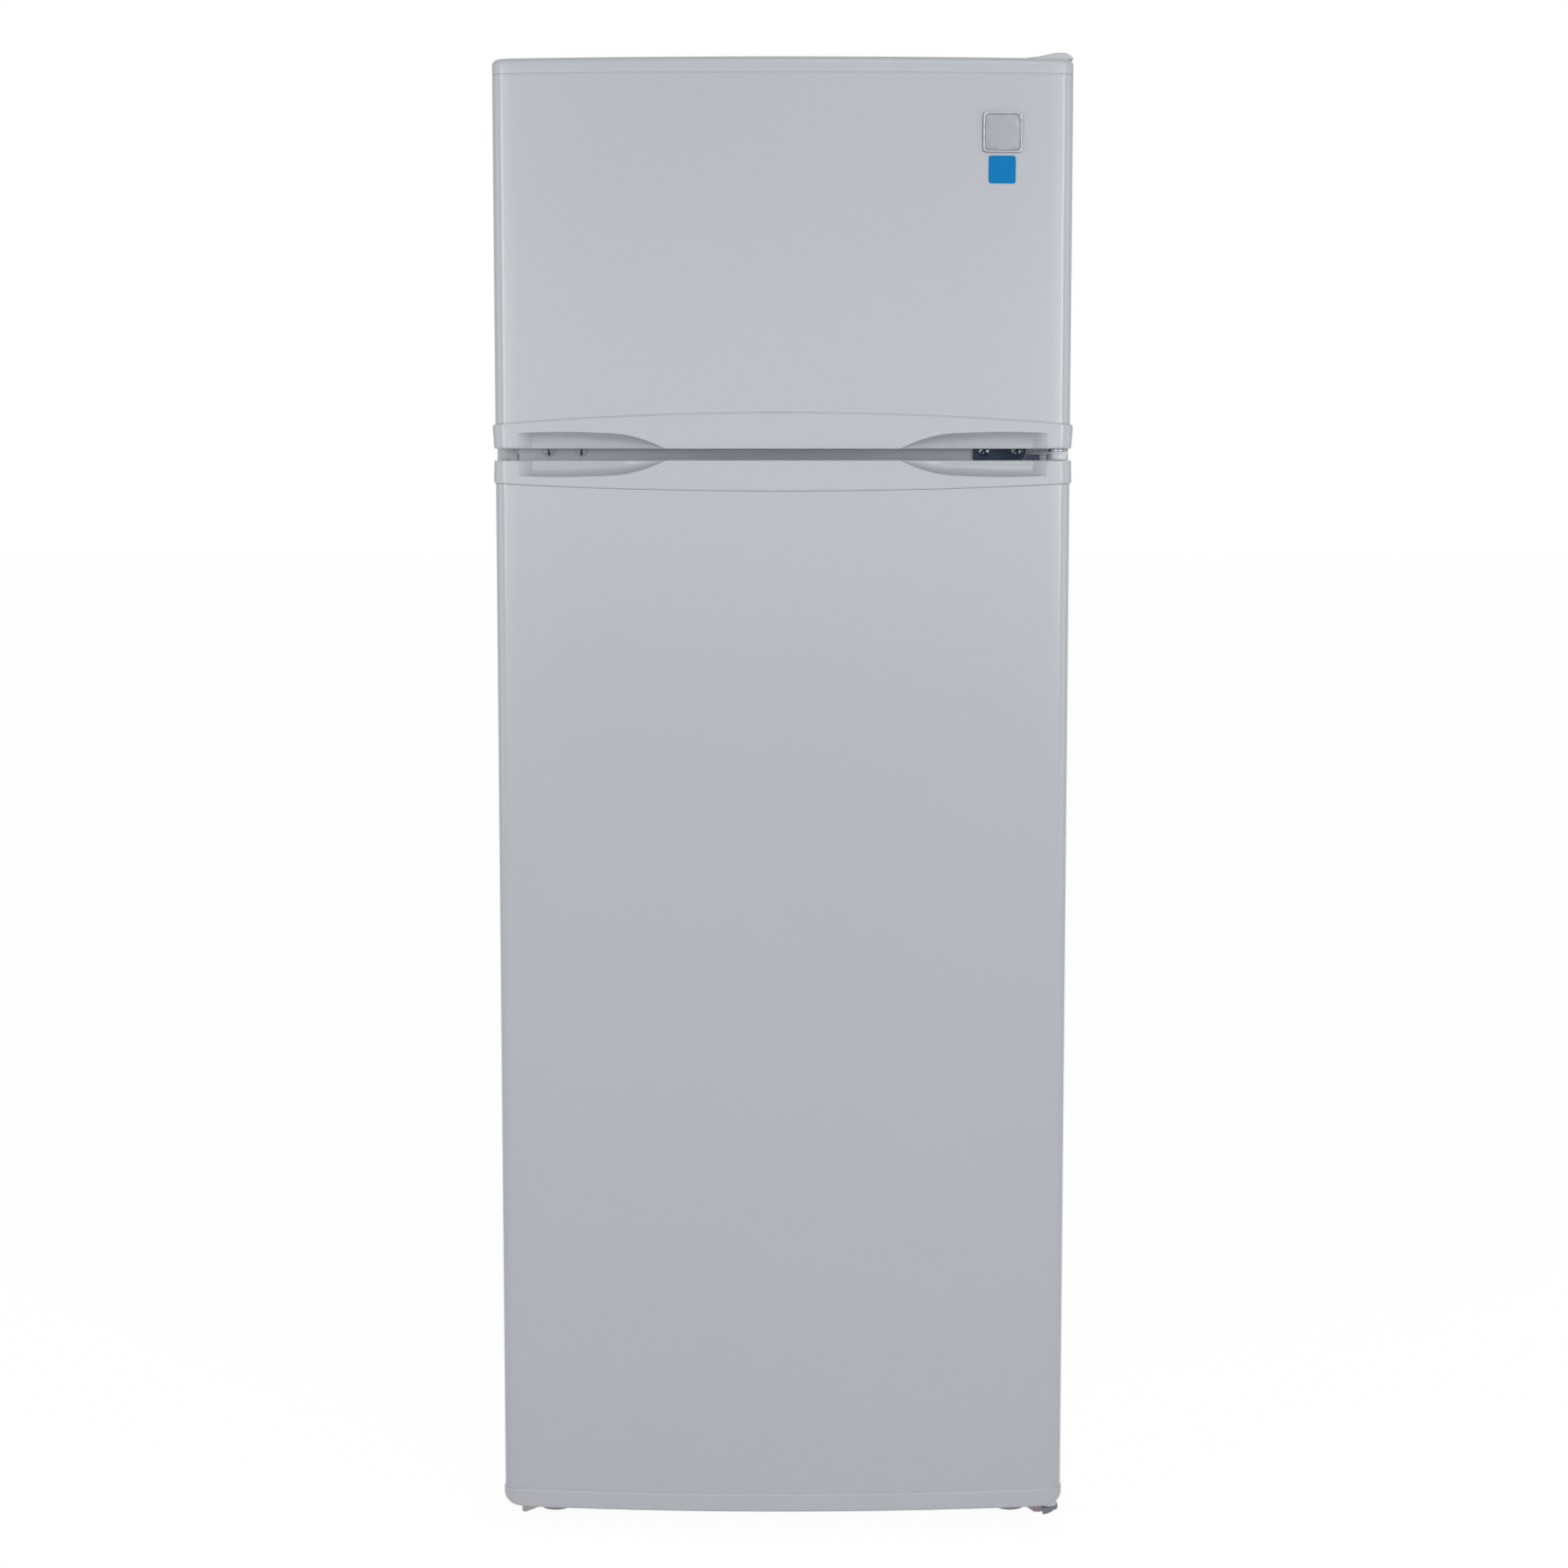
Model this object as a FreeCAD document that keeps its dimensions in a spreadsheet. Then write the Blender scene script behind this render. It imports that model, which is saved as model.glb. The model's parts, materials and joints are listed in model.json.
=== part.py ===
"""Top freezer refrigerator: a steel cabinet with two bowed doors hung on its right side.

Millimetres, +Z up. The origin is on the floor, under the middle of the overall box.
The doors face -Y and their hinge pins stand on the +X side.
"""
import FreeCAD, Part
import math
import os
import re

import Sketcher

Vector = FreeCAD.Vector

SIZES = {
    # overall form and doors
    "door_width": 545.0,
    "spacer_length": 25.0,
    "bow_radius": 2070.0,
    "corner_radius": 12.0,
    "door_depth": 70.0,
    "door_setback": 12.0,
    "door_bottom": 32.5,
    "fresh_door_height": 1020.0,
    "split_gap": 11.0,
    "freezer_door_height": 362.5,
    "sheet_gauge": 0.8,
    "door_return": 14.0,
    "round_sides": 24.0,
    "small_sides": 12.0,
    # door end caps and their hand grips
    "freezer_top_cap": 15.0,
    "freezer_low_cap": 23.0,
    "freezer_low_arch": 11.0,
    "fresh_top_cap": 22.0,
    "fresh_top_arch": 7.0,
    "fresh_low_cap": 19.0,
    "cap_edge_round": 7.0,
    "cap_spigot": 30.0,
    "upper_ear": 3.0,
    "lower_ear": 1.9,
    "ear_tip": 1.3,
    "foot_ear": 1.0,
    "foot_round": 13.0,
    "grip_tip": 161.9,
    "grip_knee": 106.0,
    "grip_end": 20.5,
    "grip_inner": 37.0,
    "grip_height": 14.5,
    "grip_setback": 29.0,
    "grip_sag_tip": 4.0,
    "grip_sag_end": 1.2,
    "grip_cove": 6.0,
    "badge_size": 37.0,
    "badge_height": 2.6,
    "badge_inset": 67.5,
    "badge_drop": 69.0,
    # gaskets and door liners
    "gasket_inset": 8.0,
    "gasket_width": 14.0,
    "seal_clearance": 0.3,
    "liner_wall": 2.0,
    "dyke_inset": 57.5,
    "dyke_end_inset": 30.0,
    "dyke_width": 14.0,
    "dyke_rise": 28.0,
    "dyke_round": 16.0,
    # cabinet
    "cabinet_beyond": 3.5,
    "cabinet_depth": 453.0,
    "cabinet_bottom": 24.0,
    "top_step": 1.0,
    "frame_side": 24.0,
    "mullion_height": 64.0,
    "sill_height": 54.0,
    "base_floor": 16.0,
    "base_return": 60.0,
    "top_insulation": 40.0,
    "freezer_insulation": 55.0,
    "fresh_insulation": 45.0,
    "back_insulation": 60.0,
    "floor_insulation": 48.0,
    "liner_round": 8.0,
    "cabin_depth": 170.0,
    "cabin_height": 238.0,
    "cabin_insulation": 28.0,
    # hinges
    "pin_inset": 9.5,
    "pin_setback": 47.0,
    "pin_radius": 3.5,
    "pin_clearance": 0.05,
    "pin_reach": 14.0,
    "plate_gauge": 3.0,
    "hinge_knuckle": 9.0,
    "washer_radius": 9.3,
    "spacer_radius": 7.5,
    "joint_clearance": 0.3,
    "screw_pitch": 31.6,
    "screw_inset": 78.1,
    "screw_head_radius": 5.5,
    "screw_head_height": 2.4,
    "leaf_screw_first": 12.0,
    "leaf_screw_pitch": 24.0,
    "leaf_screw_side": 5.0,
    "plug_radius": 5.8,
    "leaf_side": 17.0,
    "leaf_length": 70.0,
    "hood_height": 7.0,
    "hood_side": 39.0,
    "hood_beyond": 1.0,
    "hood_slope": 3.0,
    "hood_bevel": 7.0,
    "hood_wall": 1.2,
    "hood_round": 2.0,
    "arm_left": 11.0,
    "arm_right": 17.0,
    "arm_width": 10.5,
    "lip_inset": 11.0,
    "lip_low": 5.0,
    "lip_rise": 6.0,
    "wedge_inner": 29.0,
    "wedge_outer": 11.5,
    "wedge_low": 4.0,
    "wedge_high": 12.6,
    "wedge_depth": 14.0,
    # shelves, bins and drawer
    "rib_depth": 9.0,
    "rib_height": 8.0,
    "shelf_thickness": 4.0,
    "shelf_front": 100.0,
    "shelf_side_gap": 2.5,
    "shelf_trim": 12.0,
    "lower_shelf_height": 470.0,
    "upper_shelf_height": 730.0,
    "freezer_shelf_height": 145.0,
    "wire_radius": 2.5,
    "rod_radius": 1.5,
    "rod_count": 13.0,
    "bin_wall": 2.2,
    "bin_depth": 84.0,
    "bin_gap": 1.5,
    "bin_round": 14.0,
    "freezer_seat_low": 90.0,
    "freezer_seat_high": 200.0,
    "bottle_seat": 140.0,
    "middle_seat": 470.0,
    "upper_seat": 740.0,
    "boss_reach": 8.0,
    "boss_height": 10.0,
    "freezer_bin_height": 58.0,
    "fresh_bin_height": 70.0,
    "bottle_bin_height": 105.0,
    "drawer_gap": 6.5,
    "drawer_depth": 168.0,
    "drawer_wall": 2.5,
    "drawer_round": 4.0,
    # control box, lamp and switch
    "control_width": 210.0,
    "control_depth": 130.0,
    "control_height": 44.0,
    "control_wall": 2.5,
    "control_setback": 37.0,
    "control_slope": 12.0,
    "lamp_room_side": 9.0,
    "lamp_room_front": 24.0,
    "lens_gauge": 2.0,
    "lamp_socket": 16.0,
    "lamp_length": 28.0,
    "dial_shaft": 3.0,
    "shaft_length": 11.0,
    "notch_width": 2.0,
    "plunger_seat": 14.0,
    "dial_radius": 17.0,
    "dial_depth": 12.0,
    "lamp_radius": 13.0,
    "plunger_radius": 4.0,
    # feet and rollers
    "foot_radius": 15.5,
    "foot_thickness": 7.0,
    "stem_radius": 4.0,
    "foot_inset": 43.5,
    "foot_setback": 33.0,
    "roller_radius": 15.0,
    "roller_width": 14.0,
    "roller_axle": 3.0,
    "roller_inset": 40.0,
    "roller_setback": 26.0,
    "roller_plate": 28.0,
    "roller_ear": 18.0,
    # refrigeration
    "tube_radius": 2.5,
    "coil_width": 400.0,
    "coil_pitch": 84.0,
    "coil_passes": 11.0,
    "coil_bottom": 330.0,
    "coil_standoff": 11.0,
    "coil_wire_width": 1.6,
    "coil_wire_pitch": 19.0,
    "coil_wire_count": 20.0,
    "wire_beyond": 12.0,
    "spacer_place": 8.0,
    "spacer_width": 12.0,
    "spacer_height": 30.0,
    "tube_bend": 9.0,
    "tube_loop": 22.0,
    "pump_x": 40.0,
    "pump_radius": 68.0,
    "pump_oval": 0.84,
    "pump_height": 150.0,
    "pump_bevel": 18.0,
    "pump_plate_x": 92.0,
    "pump_plate_y": 56.0,
    "relay_depth": 30.0,
    "relay_width": 34.0,
    "relay_height": 58.0,
    "grommet_height": 9.0,
    "grommet_radius": 9.0,
    "tray_height": 24.0,
    "tray_half_x": 85.0,
    "tray_half_y": 60.0,
    "dryer_setback": 30.0,
    "dryer_drop": 24.0,
    "dryer_radius": 9.0,
    "dryer_length": 120.0,
    "evaporator_width": 300.0,
    "evaporator_height": 200.0,
    "evaporator_gauge": 3.0,
    "evaporator_drop": 46.0,
    "gland_x": 150.0,
    "gland_radius": 8.0,
    "gland_length": 10.0,
}

doc = FreeCAD.newDocument("TopFreezerRefrigerator")
sheet = doc.addObject("Spreadsheet::Sheet", "Sizes")
for row, (alias, number) in enumerate(SIZES.items(), start=1):
    sheet.set(f"A{row}", alias)
    sheet.set(f"B{row}", str(number))
    sheet.setAlias(f"B{row}", alias)
doc.recompute()

ALIAS = re.compile(r"\b[a-z]+(?:_[a-z]+)+\b")
pieces = {}


def bound(text):
    """The expression for the document: every size named in the text points at its cell."""
    return ALIAS.sub(lambda found: "Sizes." + found.group(0), str(text))


def val(text):
    """The number that an expression has now."""
    return float(sheet.evalExpression(bound(text)))


# ---------------------------------------------------------------- planes that pieces share
HALF = "(door_width/2)"
CABINET = "(door_width/2+cabinet_beyond)"
Y_APEX = "(-(door_depth+door_setback+cabinet_depth+spacer_length)/2)"
Y_BACK = f"({Y_APEX}+door_depth)"
Y_FRAME = f"({Y_APEX}+door_depth+door_setback)"
Y_LINER = f"({Y_FRAME}+sheet_gauge)"
Y_REAR = f"({Y_FRAME}+cabinet_depth)"
Y_PIN = f"({Y_APEX}+pin_setback)"
X_PIN = f"({HALF}-pin_inset)"
Z_FRESH = "door_bottom"
Z_SPLIT = "(door_bottom+fresh_door_height)"
Z_FREEZER = "(door_bottom+fresh_door_height+split_gap)"
Z_DOOR_TOP = "(door_bottom+fresh_door_height+split_gap+freezer_door_height)"
Z_TOP = f"({Z_DOOR_TOP}+top_step)"
Z_MIDDLE = "(door_bottom+fresh_door_height+split_gap/2)"
Z_FLOOR = "(cabinet_bottom+base_floor)"
X_SCREW = f"({HALF}-screw_inset)"
X_BADGE = f"({HALF}-badge_inset)"
X_TIP = f"({HALF}-grip_tip)"
X_KNEE = f"({HALF}-grip_knee)"
X_END = f"({HALF}-grip_end)"
X_FRAME = f"({HALF}-frame_side)"
X_FREEZER = f"({HALF}-freezer_insulation)"
X_FRESH = f"({HALF}-fresh_insulation)"
Z_FRESH_FLOOR = f"({Z_FLOOR}+floor_insulation)"
Z_FRESH_CEILING = f"({Z_MIDDLE}-mullion_height/2-2*liner_wall)"
Z_FREEZER_FLOOR = f"({Z_MIDDLE}+mullion_height/2+2*liner_wall)"
Z_FREEZER_CEILING = f"({Z_TOP}-top_insulation)"
Y_FRESH_BACK = f"({Y_REAR}-back_insulation)"
Y_CABIN = f"({Y_REAR}-cabin_depth)"
Z_CABIN = "(cabinet_bottom+cabin_height)"
Y_HUMP = f"({Y_CABIN}-cabin_insulation)"
Z_HUMP = f"({Z_CABIN}+cabin_insulation)"
PUMP_X = "(-pump_x)"
PUMP_Y = f"(({Y_CABIN}+{Y_REAR})/2)"
PUMP_Z = f"(cabinet_bottom+base_floor+sheet_gauge+grommet_height)"
Y_SHELF = f"({Y_LINER}+shelf_front)"


# ---------------------------------------------------------------- modelling helpers
def keep(node, feature):
    """Names a finished piece: its Label is the node's name."""
    feature.Label = node
    pieces[node] = feature
    return feature


def new_body(name):
    return doc.addObject("PartDesign::Body", name)


def origin_plane(body, role):
    return next(item for item in body.Origin.OriginFeatures if item.Role == role)


def arc_middle(start, end, radius, side):
    """Middle of the arc from start to end whose centre lies to the left (1) or right (-1)."""
    chord = end - start
    height = radius - max(radius**2 - chord.Length**2 / 4, 0) ** 0.5
    left = Vector(-chord.y, chord.x, 0).normalize()
    return (start + end) * 0.5 - left * (side * height)


def outline(body, plane, offset, corners, arcs=None, name="Outline"):
    """A closed sketch whose corners are pairs of expressions.

    arcs gives, for the edge that leaves a corner, its radius and the side of its centre.
    """
    drawing = body.newObject("Sketcher::SketchObject", name)
    drawing.AttachmentSupport = (origin_plane(body, plane), [""])
    drawing.MapMode = "FlatFace"
    drawing.setExpression("AttachmentOffset.Base.z", bound(offset))
    add_loop(drawing, corners, arcs or {})
    return drawing


def add_loop(drawing, corners, arcs):
    points = [Vector(val(x), val(y), 0) for x, y in corners]
    count = len(points)
    first = drawing.GeometryCount
    ends = []
    for index, start in enumerate(points):
        end = points[(index + 1) % count]
        if index in arcs:
            radius, side = arcs[index]
            middle = arc_middle(start, end, val(radius), side)
            drawing.addGeometry(Part.Arc(start, middle, end), False)
        else:
            drawing.addGeometry(Part.LineSegment(start, end), False)
        near = (drawing.getPoint(first + index, 1) - start).Length
        far = (drawing.getPoint(first + index, 2) - start).Length
        ends.append((1, 2) if near < far else (2, 1))
    for index, (x, y) in enumerate(corners):
        edge = first + index
        after = first + (index + 1) % count
        joins = (edge, ends[index][1], after, ends[(index + 1) % count][0])
        drawing.addConstraint(Sketcher.Constraint("Coincident", *joins))
        for kind, text in (("DistanceX", x), ("DistanceY", y)):
            fixed = Sketcher.Constraint(kind, edge, ends[index][0], val(text))
            number = drawing.addConstraint(fixed)
            drawing.setExpression(f"Constraints[{number}]", bound(text))
        if index in arcs:
            size = arcs[index][0]
            number = drawing.addConstraint(Sketcher.Constraint("Radius", edge, val(size)))
            drawing.setExpression(f"Constraints[{number}]", bound(size))


def rectangle(x_low, y_low, x_high, y_high):
    return [(x_low, y_low), (x_high, y_low), (x_high, y_high), (x_low, y_high)]


def rounded_rectangle(half, y_low, y_high, near, far):
    """A rectangle about the Y axis whose near and far corners have their own radii."""
    corners = []
    arcs = {}
    for x_side, y, radius, order in ((-1, y_low, near, 1), (1, y_low, near, -1),
                                     (1, y_high, far, 1), (-1, y_high, far, -1)):
        x = f"({x_side}*({half}))"
        if radius is None:
            corners.append((x, y))
            continue
        inwards = 1 if y == y_low else -1
        upright = (x, f"({y}+{inwards}*({radius}))")
        level = (f"({x_side}*(({half})-({radius})))", y)
        arcs[len(corners)] = (radius, 1)
        corners += [upright, level] if order > 0 else [level, upright]
    return corners, arcs


def disc(body, plane, offset, x, y, radius, name="Disc"):
    """A round sketch about the point (x, y) of the plane."""
    drawing = body.newObject("Sketcher::SketchObject", name)
    drawing.AttachmentSupport = (origin_plane(body, plane), [""])
    drawing.MapMode = "FlatFace"
    drawing.setExpression("AttachmentOffset.Base.z", bound(offset))
    add_circle(drawing, x, y, radius)
    return drawing


def add_circle(drawing, x, y, radius):
    centre = Vector(val(x), val(y), 0)
    circle = Part.Circle(centre, Vector(0, 0, 1), val(radius))
    edge = drawing.addGeometry(circle, False)
    for kind, text in (("DistanceX", x), ("DistanceY", y)):
        number = drawing.addConstraint(Sketcher.Constraint(kind, edge, 3, val(text)))
        drawing.setExpression(f"Constraints[{number}]", bound(text))
    number = drawing.addConstraint(Sketcher.Constraint("Radius", edge, val(radius)))
    drawing.setExpression(f"Constraints[{number}]", bound(radius))


def pad(body, drawing, length, reverse=False, name="Pad"):
    feature = body.newObject("PartDesign::Pad", name)
    feature.Profile = drawing
    feature.Reversed = reverse
    feature.setExpression("Length", bound(length))
    body.Tip = feature
    doc.recompute()
    return feature


def pocket(body, drawing, length=None, reverse=False, name="Pocket"):
    """Cuts to a depth, or through everything both ways; it must remove material."""
    before = body.Shape.Volume
    feature = body.newObject("PartDesign::Pocket", name)
    feature.Profile = drawing
    feature.Reversed = reverse
    if length is None:
        feature.Type = "ThroughAll"
        feature.Midplane = True
    else:
        feature.setExpression("Length", bound(length))
    body.Tip = feature
    doc.recompute()
    if not body.Shape.Volume < before:
        raise RuntimeError(f"{name} of {body.Name} cut nothing")
    return feature


def bevel_edges(body, size, chosen, name="Bevel"):
    """Chamfers the edges of the body that the function chosen picks."""
    return dressed_edges(body, "PartDesign::Chamfer", "Size", size, chosen, name)


def round_edges(body, radius, chosen, name="Fillet"):
    """Fillets the edges of the body that the function chosen picks."""
    return dressed_edges(body, "PartDesign::Fillet", "Radius", radius, chosen, name)


def dressed_edges(body, kind, dimension, size, chosen, name):
    """Adds a fillet or a chamfer to the chosen edges of the body's last feature."""
    base = body.Tip
    edges = [f"Edge{n}" for n, edge in enumerate(base.Shape.Edges, start=1) if chosen(edge)]
    if not edges:
        raise RuntimeError(f"{name} of {body.Name} found no edge")
    feature = body.newObject(kind, name)
    feature.Base = (base, edges)
    feature.setExpression(dimension, bound(size))
    body.Tip = feature
    doc.recompute()
    return feature


def block(x, y, z, dx, dy, dz, name="Block"):
    """A box from its low corner and its three lengths."""
    solid = doc.addObject("Part::Box", name)
    for key, text in (("Length", dx), ("Width", dy), ("Height", dz)):
        solid.setExpression(key, bound(text))
    for key, text in (("x", x), ("y", y), ("z", z)):
        solid.setExpression(f"Placement.Base.{key}", bound(text))
    return solid


TURNS = {
    "z": FreeCAD.Rotation(),
    "x": FreeCAD.Rotation(Vector(0, 1, 0), 90),
    "y": FreeCAD.Rotation(Vector(1, 0, 0), -90),
}


def rod(x, y, z, radius, length, axis="z", sides=None, name="Rod"):
    """A round bar, or a many-sided one, that starts at a point and runs along one axis."""
    if sides is None:
        solid = doc.addObject("Part::Cylinder", name)
        solid.setExpression("Radius", bound(radius))
    else:
        solid = doc.addObject("Part::Prism", name)
        solid.setExpression("Polygon", bound(sides))
        solid.setExpression("Circumradius", bound(radius))
    solid.Placement = FreeCAD.Placement(Vector(), TURNS[axis])
    solid.setExpression("Height", bound(length))
    for key, text in (("x", x), ("y", y), ("z", z)):
        solid.setExpression(f"Placement.Base.{key}", bound(text))
    return solid


def united(features, name="Union"):
    fusion = doc.addObject("Part::MultiFuse", name)
    fusion.Shapes = features
    return fusion


def removed(base, features, name="Difference"):
    """The base less the other features."""
    tool = features[0]
    if len(features) > 1:
        tool = united(features, name + "Tools")
    difference = doc.addObject("Part::Cut", name)
    difference.Base = base
    difference.Tool = tool
    return difference


def grouped(features, name="Group"):
    """Several separate solids that make one piece of hardware."""
    group = doc.addObject("Part::Compound", name)
    group.Links = features
    return group


def is_line_along(edge, axis):
    """True for a straight edge parallel to a unit vector."""
    if edge.Curve.TypeId != "Part::GeomLine":
        return False
    return abs(abs(edge.Curve.Direction.dot(axis)) - 1) < 1e-6


# ---------------------------------------------------------------- doors
def bow_at(x, inset="0"):
    """Y of the bowed front at a distance x from the middle, moved inwards by an inset."""
    return f"({Y_APEX}+bow_radius-sqrt((bow_radius-({inset}))^2-({x})^2))"


def door_section(half, inset="0", back=Y_BACK):
    """Plan outline of a door: bowed front, rounded corners, straight sides and back."""
    corner = f"(corner_radius-({inset}))"
    bow = f"(bow_radius-({inset}))"
    centre_x = f"({half}-{corner})"
    drop = f"sqrt(({bow}-{corner})^2-{centre_x}^2)"
    side_y = f"({Y_APEX}+bow_radius-{drop})"
    stretch = f"({bow}/({bow}-{corner}))"
    bow_x = f"({centre_x}*{stretch})"
    bow_y = f"({Y_APEX}+bow_radius-{drop}*{stretch})"
    corners = [(f"-{half}", back), (f"-{half}", side_y), (f"-{bow_x}", bow_y)]
    corners += [(bow_x, bow_y), (half, side_y), (half, back)]
    return corners, {1: (corner, 1), 2: (bow, 1), 3: (corner, 1)}


def arch(z_side, rise, beyond):
    """Front outline for cutting along an arched line that spans the door's width.

    rise is the arch's height in the middle; the outline goes beyond to the side named.
    """
    radius = f"(({HALF})^2+({rise})^2)/(2*abs({rise}))"
    corners = [(f"-{HALF}", z_side), (HALF, z_side), (f"{HALF}+10", z_side)]
    corners += [(f"{HALF}+10", beyond), (f"-{HALF}-10", beyond), (f"-{HALF}-10", z_side)]
    side = 1 if val(rise) < 0 else -1
    return corners, {0: (radius, side)}


def door_skin(node, z_low, z_high, low_arch=None, high_arch=None):
    """Painted sheet wrapped round the front, the sides and a narrow return at the back."""
    body = new_body(node)
    low = f"({z_low}-abs({low_arch or 0}))"
    high = f"({z_high}+abs({high_arch or 0}))"
    corners, arcs = door_section(HALF)
    pad(body, outline(body, "XY_Plane", low, corners, arcs), f"{high}-{low}", name="Blank")
    inner = f"({HALF}-sheet_gauge)"
    corners, arcs = door_section(inner, "sheet_gauge", f"({Y_BACK}-sheet_gauge)")
    pocket(body, outline(body, "XY_Plane", Z_FRESH, corners, arcs), name="Hollow")
    opening = f"({HALF}-door_return)"
    slot = rectangle(f"-{opening}", f"{Y_BACK}-door_return", opening, f"{Y_BACK}+5")
    pocket(body, outline(body, "XY_Plane", Z_FRESH, slot), name="BackOpening")
    if low_arch:
        corners, arcs = arch(z_low, low_arch, f"{low}-10")
        pocket(body, outline(body, "XZ_Plane", "0", corners, arcs), name="LowerArch")
    if high_arch:
        corners, arcs = arch(z_high, high_arch, f"{high}+10")
        pocket(body, outline(body, "XZ_Plane", "0", corners, arcs), name="UpperArch")
    return keep(node, body)


def grip_cutter(name, z_edge, up):
    """The hand grip's hollow: a flat arched outline with a slanting outer end."""
    z_knee = f"({z_edge}+{up}*grip_height)"
    z_past = f"({z_edge}-{up}*10)"
    chord_tip = f"(({X_KNEE}-{X_TIP})^2+grip_height^2)"
    radius_tip = f"({chord_tip}/4+grip_sag_tip^2)/(2*grip_sag_tip)"
    radius_end = f"(({X_END}-{X_KNEE})^2/4+grip_sag_end^2)/(2*grip_sag_end)"
    front = new_body(name + "Front")
    corners = [(X_TIP, z_edge), (X_KNEE, z_knee), (X_END, z_knee)]
    corners += [(X_END, z_past), (X_TIP, z_past)]
    arcs = {0: (radius_tip, -up), 1: (radius_end, -up)}
    drawing = outline(front, "XZ_Plane", f"-{Y_APEX}+10", corners, arcs)
    pad(front, drawing, "door_depth+10", reverse=True)
    plan = new_body(name + "Plan")
    wall = f"({Y_APEX}+grip_setback)"
    near = f"({X_TIP}-20)"
    corners = [(near, f"{Y_APEX}-20"), (X_END, f"{Y_APEX}-20")]
    corners += [(X_END, bow_at(X_END)), (f"({HALF}-grip_inner)", wall), (near, wall)]
    pad(plan, outline(plan, "XY_Plane", f"{z_edge}-20", corners), "40+grip_height")
    common = doc.addObject("Part::MultiCommon", name + "Hollow")
    common.Shapes = [front, plan]
    doc.recompute()

    def cove(edge):
        middle = edge.CenterOfMass
        above = up * (middle.z - val(z_edge)) > 2
        return above and abs(middle.y - val(wall)) < 0.1 and edge.Length > val("grip_height")
    edges = [n for n, edge in enumerate(common.Shape.Edges, start=1) if cove(edge)]
    rounded = doc.addObject("Part::Chamfer", name + "Cove")
    rounded.Base = common
    rounded.Edges = [(n, val("grip_cove"), val("grip_cove")) for n in edges]
    mirror = doc.addObject("Part::Mirroring", name + "Mirror")
    mirror.Source = rounded
    mirror.Normal = Vector(1, 0, 0)
    doc.recompute()
    return [rounded, mirror]


def straight_cap(name, z_low, height, ear):
    """An end cap with upright sides."""
    body = new_body(name)
    corners, arcs = door_section(f"({HALF}+{ear})")
    pad(body, outline(body, "XY_Plane", z_low, corners, arcs), height, name="Cap")
    return body


def taper_sides(body, z_low, z_high, ear_low, ear_high):
    """Slants both sides of a cap, so that it flares towards the skin."""
    for side in ("", "-"):
        foot = f"{side}({HALF}+{ear_low})"
        brow = f"{side}({HALF}+{ear_high})"
        beyond = f"{side}({HALF}+10)"
        corners = [(foot, z_low), (brow, z_high), (beyond, z_high), (beyond, z_low)]
        pocket(body, outline(body, "XZ_Plane", "0", corners), name="Taper")


def rim_edges(z, y_limit):
    """Chooses the edges of a level rim that lie in front of a limit."""
    def chosen(edge):
        box = edge.BoundBox
        level = abs(box.ZMin - z) < 0.01 and abs(box.ZMax - z) < 0.01
        return level and not (box.YMin > y_limit - 0.01)
    return chosen


def arched_tongue(body, z_side, rise, direction):
    """The cap's arched front, which runs up (1) or down (-1) under the edge of the skin."""
    corners, arcs = door_section(HALF)
    if direction > 0:
        start = z_side
    else:
        start = f"({z_side}-{rise})"
    pad(body, outline(body, "XY_Plane", start, corners, arcs), rise, name="Tongue")
    if direction > 0:
        corners, arcs = arch(z_side, rise, f"{z_side}+{rise}+10")
    else:
        corners, arcs = arch(z_side, f"-{rise}", f"{z_side}-{rise}-10")
    pocket(body, outline(body, "XZ_Plane", "0", corners, arcs), name="Arch")


def spigot(body, z_low, height):
    """The block of a cap that plugs into the open end of the skin."""
    half = f"({HALF}-sheet_gauge)"
    shape = rectangle(f"-{half}", f"{Y_BACK}-cap_spigot", half, f"{Y_BACK}-sheet_gauge")
    pad(body, outline(body, "XY_Plane", z_low, shape), height, name="Spigot")


def pin_hole(z_low, height):
    """The bore that turns on a hinge pin."""
    return rod(X_PIN, Y_PIN, z_low, "pin_radius+pin_clearance", height, name="PinHole")


def freezer_caps():
    top_low = f"({Z_DOOR_TOP}-freezer_top_cap)"
    top = straight_cap("FreezerTopCap", top_low, "freezer_top_cap", "0")
    edges = rim_edges(val(Z_DOOR_TOP), val(Y_BACK))
    round_edges(top, "cap_edge_round", edges, "TopRound")
    spigot(top, f"{top_low}-cap_spigot/2", "cap_spigot/2")
    hole = pin_hole(f"{Z_DOOR_TOP}-pin_reach", "pin_reach")
    keep("freezer_door_top_cap", removed(top, [hole], "FreezerTopBored"))

    high = f"({Z_FREEZER}+freezer_low_cap)"
    low = straight_cap("FreezerLowCap", Z_FREEZER, "freezer_low_cap", "upper_ear")
    taper_sides(low, Z_FREEZER, high, "ear_tip", "upper_ear")
    arched_tongue(low, high, "freezer_low_arch", 1)
    spigot(low, high, "freezer_low_arch")
    grips = grip_cutter("UpperGrip", Z_FREEZER, 1)
    hole = pin_hole(Z_FREEZER, "pin_reach")
    keep("freezer_door_bottom_cap", removed(low, grips + [hole], "FreezerLowBored"))


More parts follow.
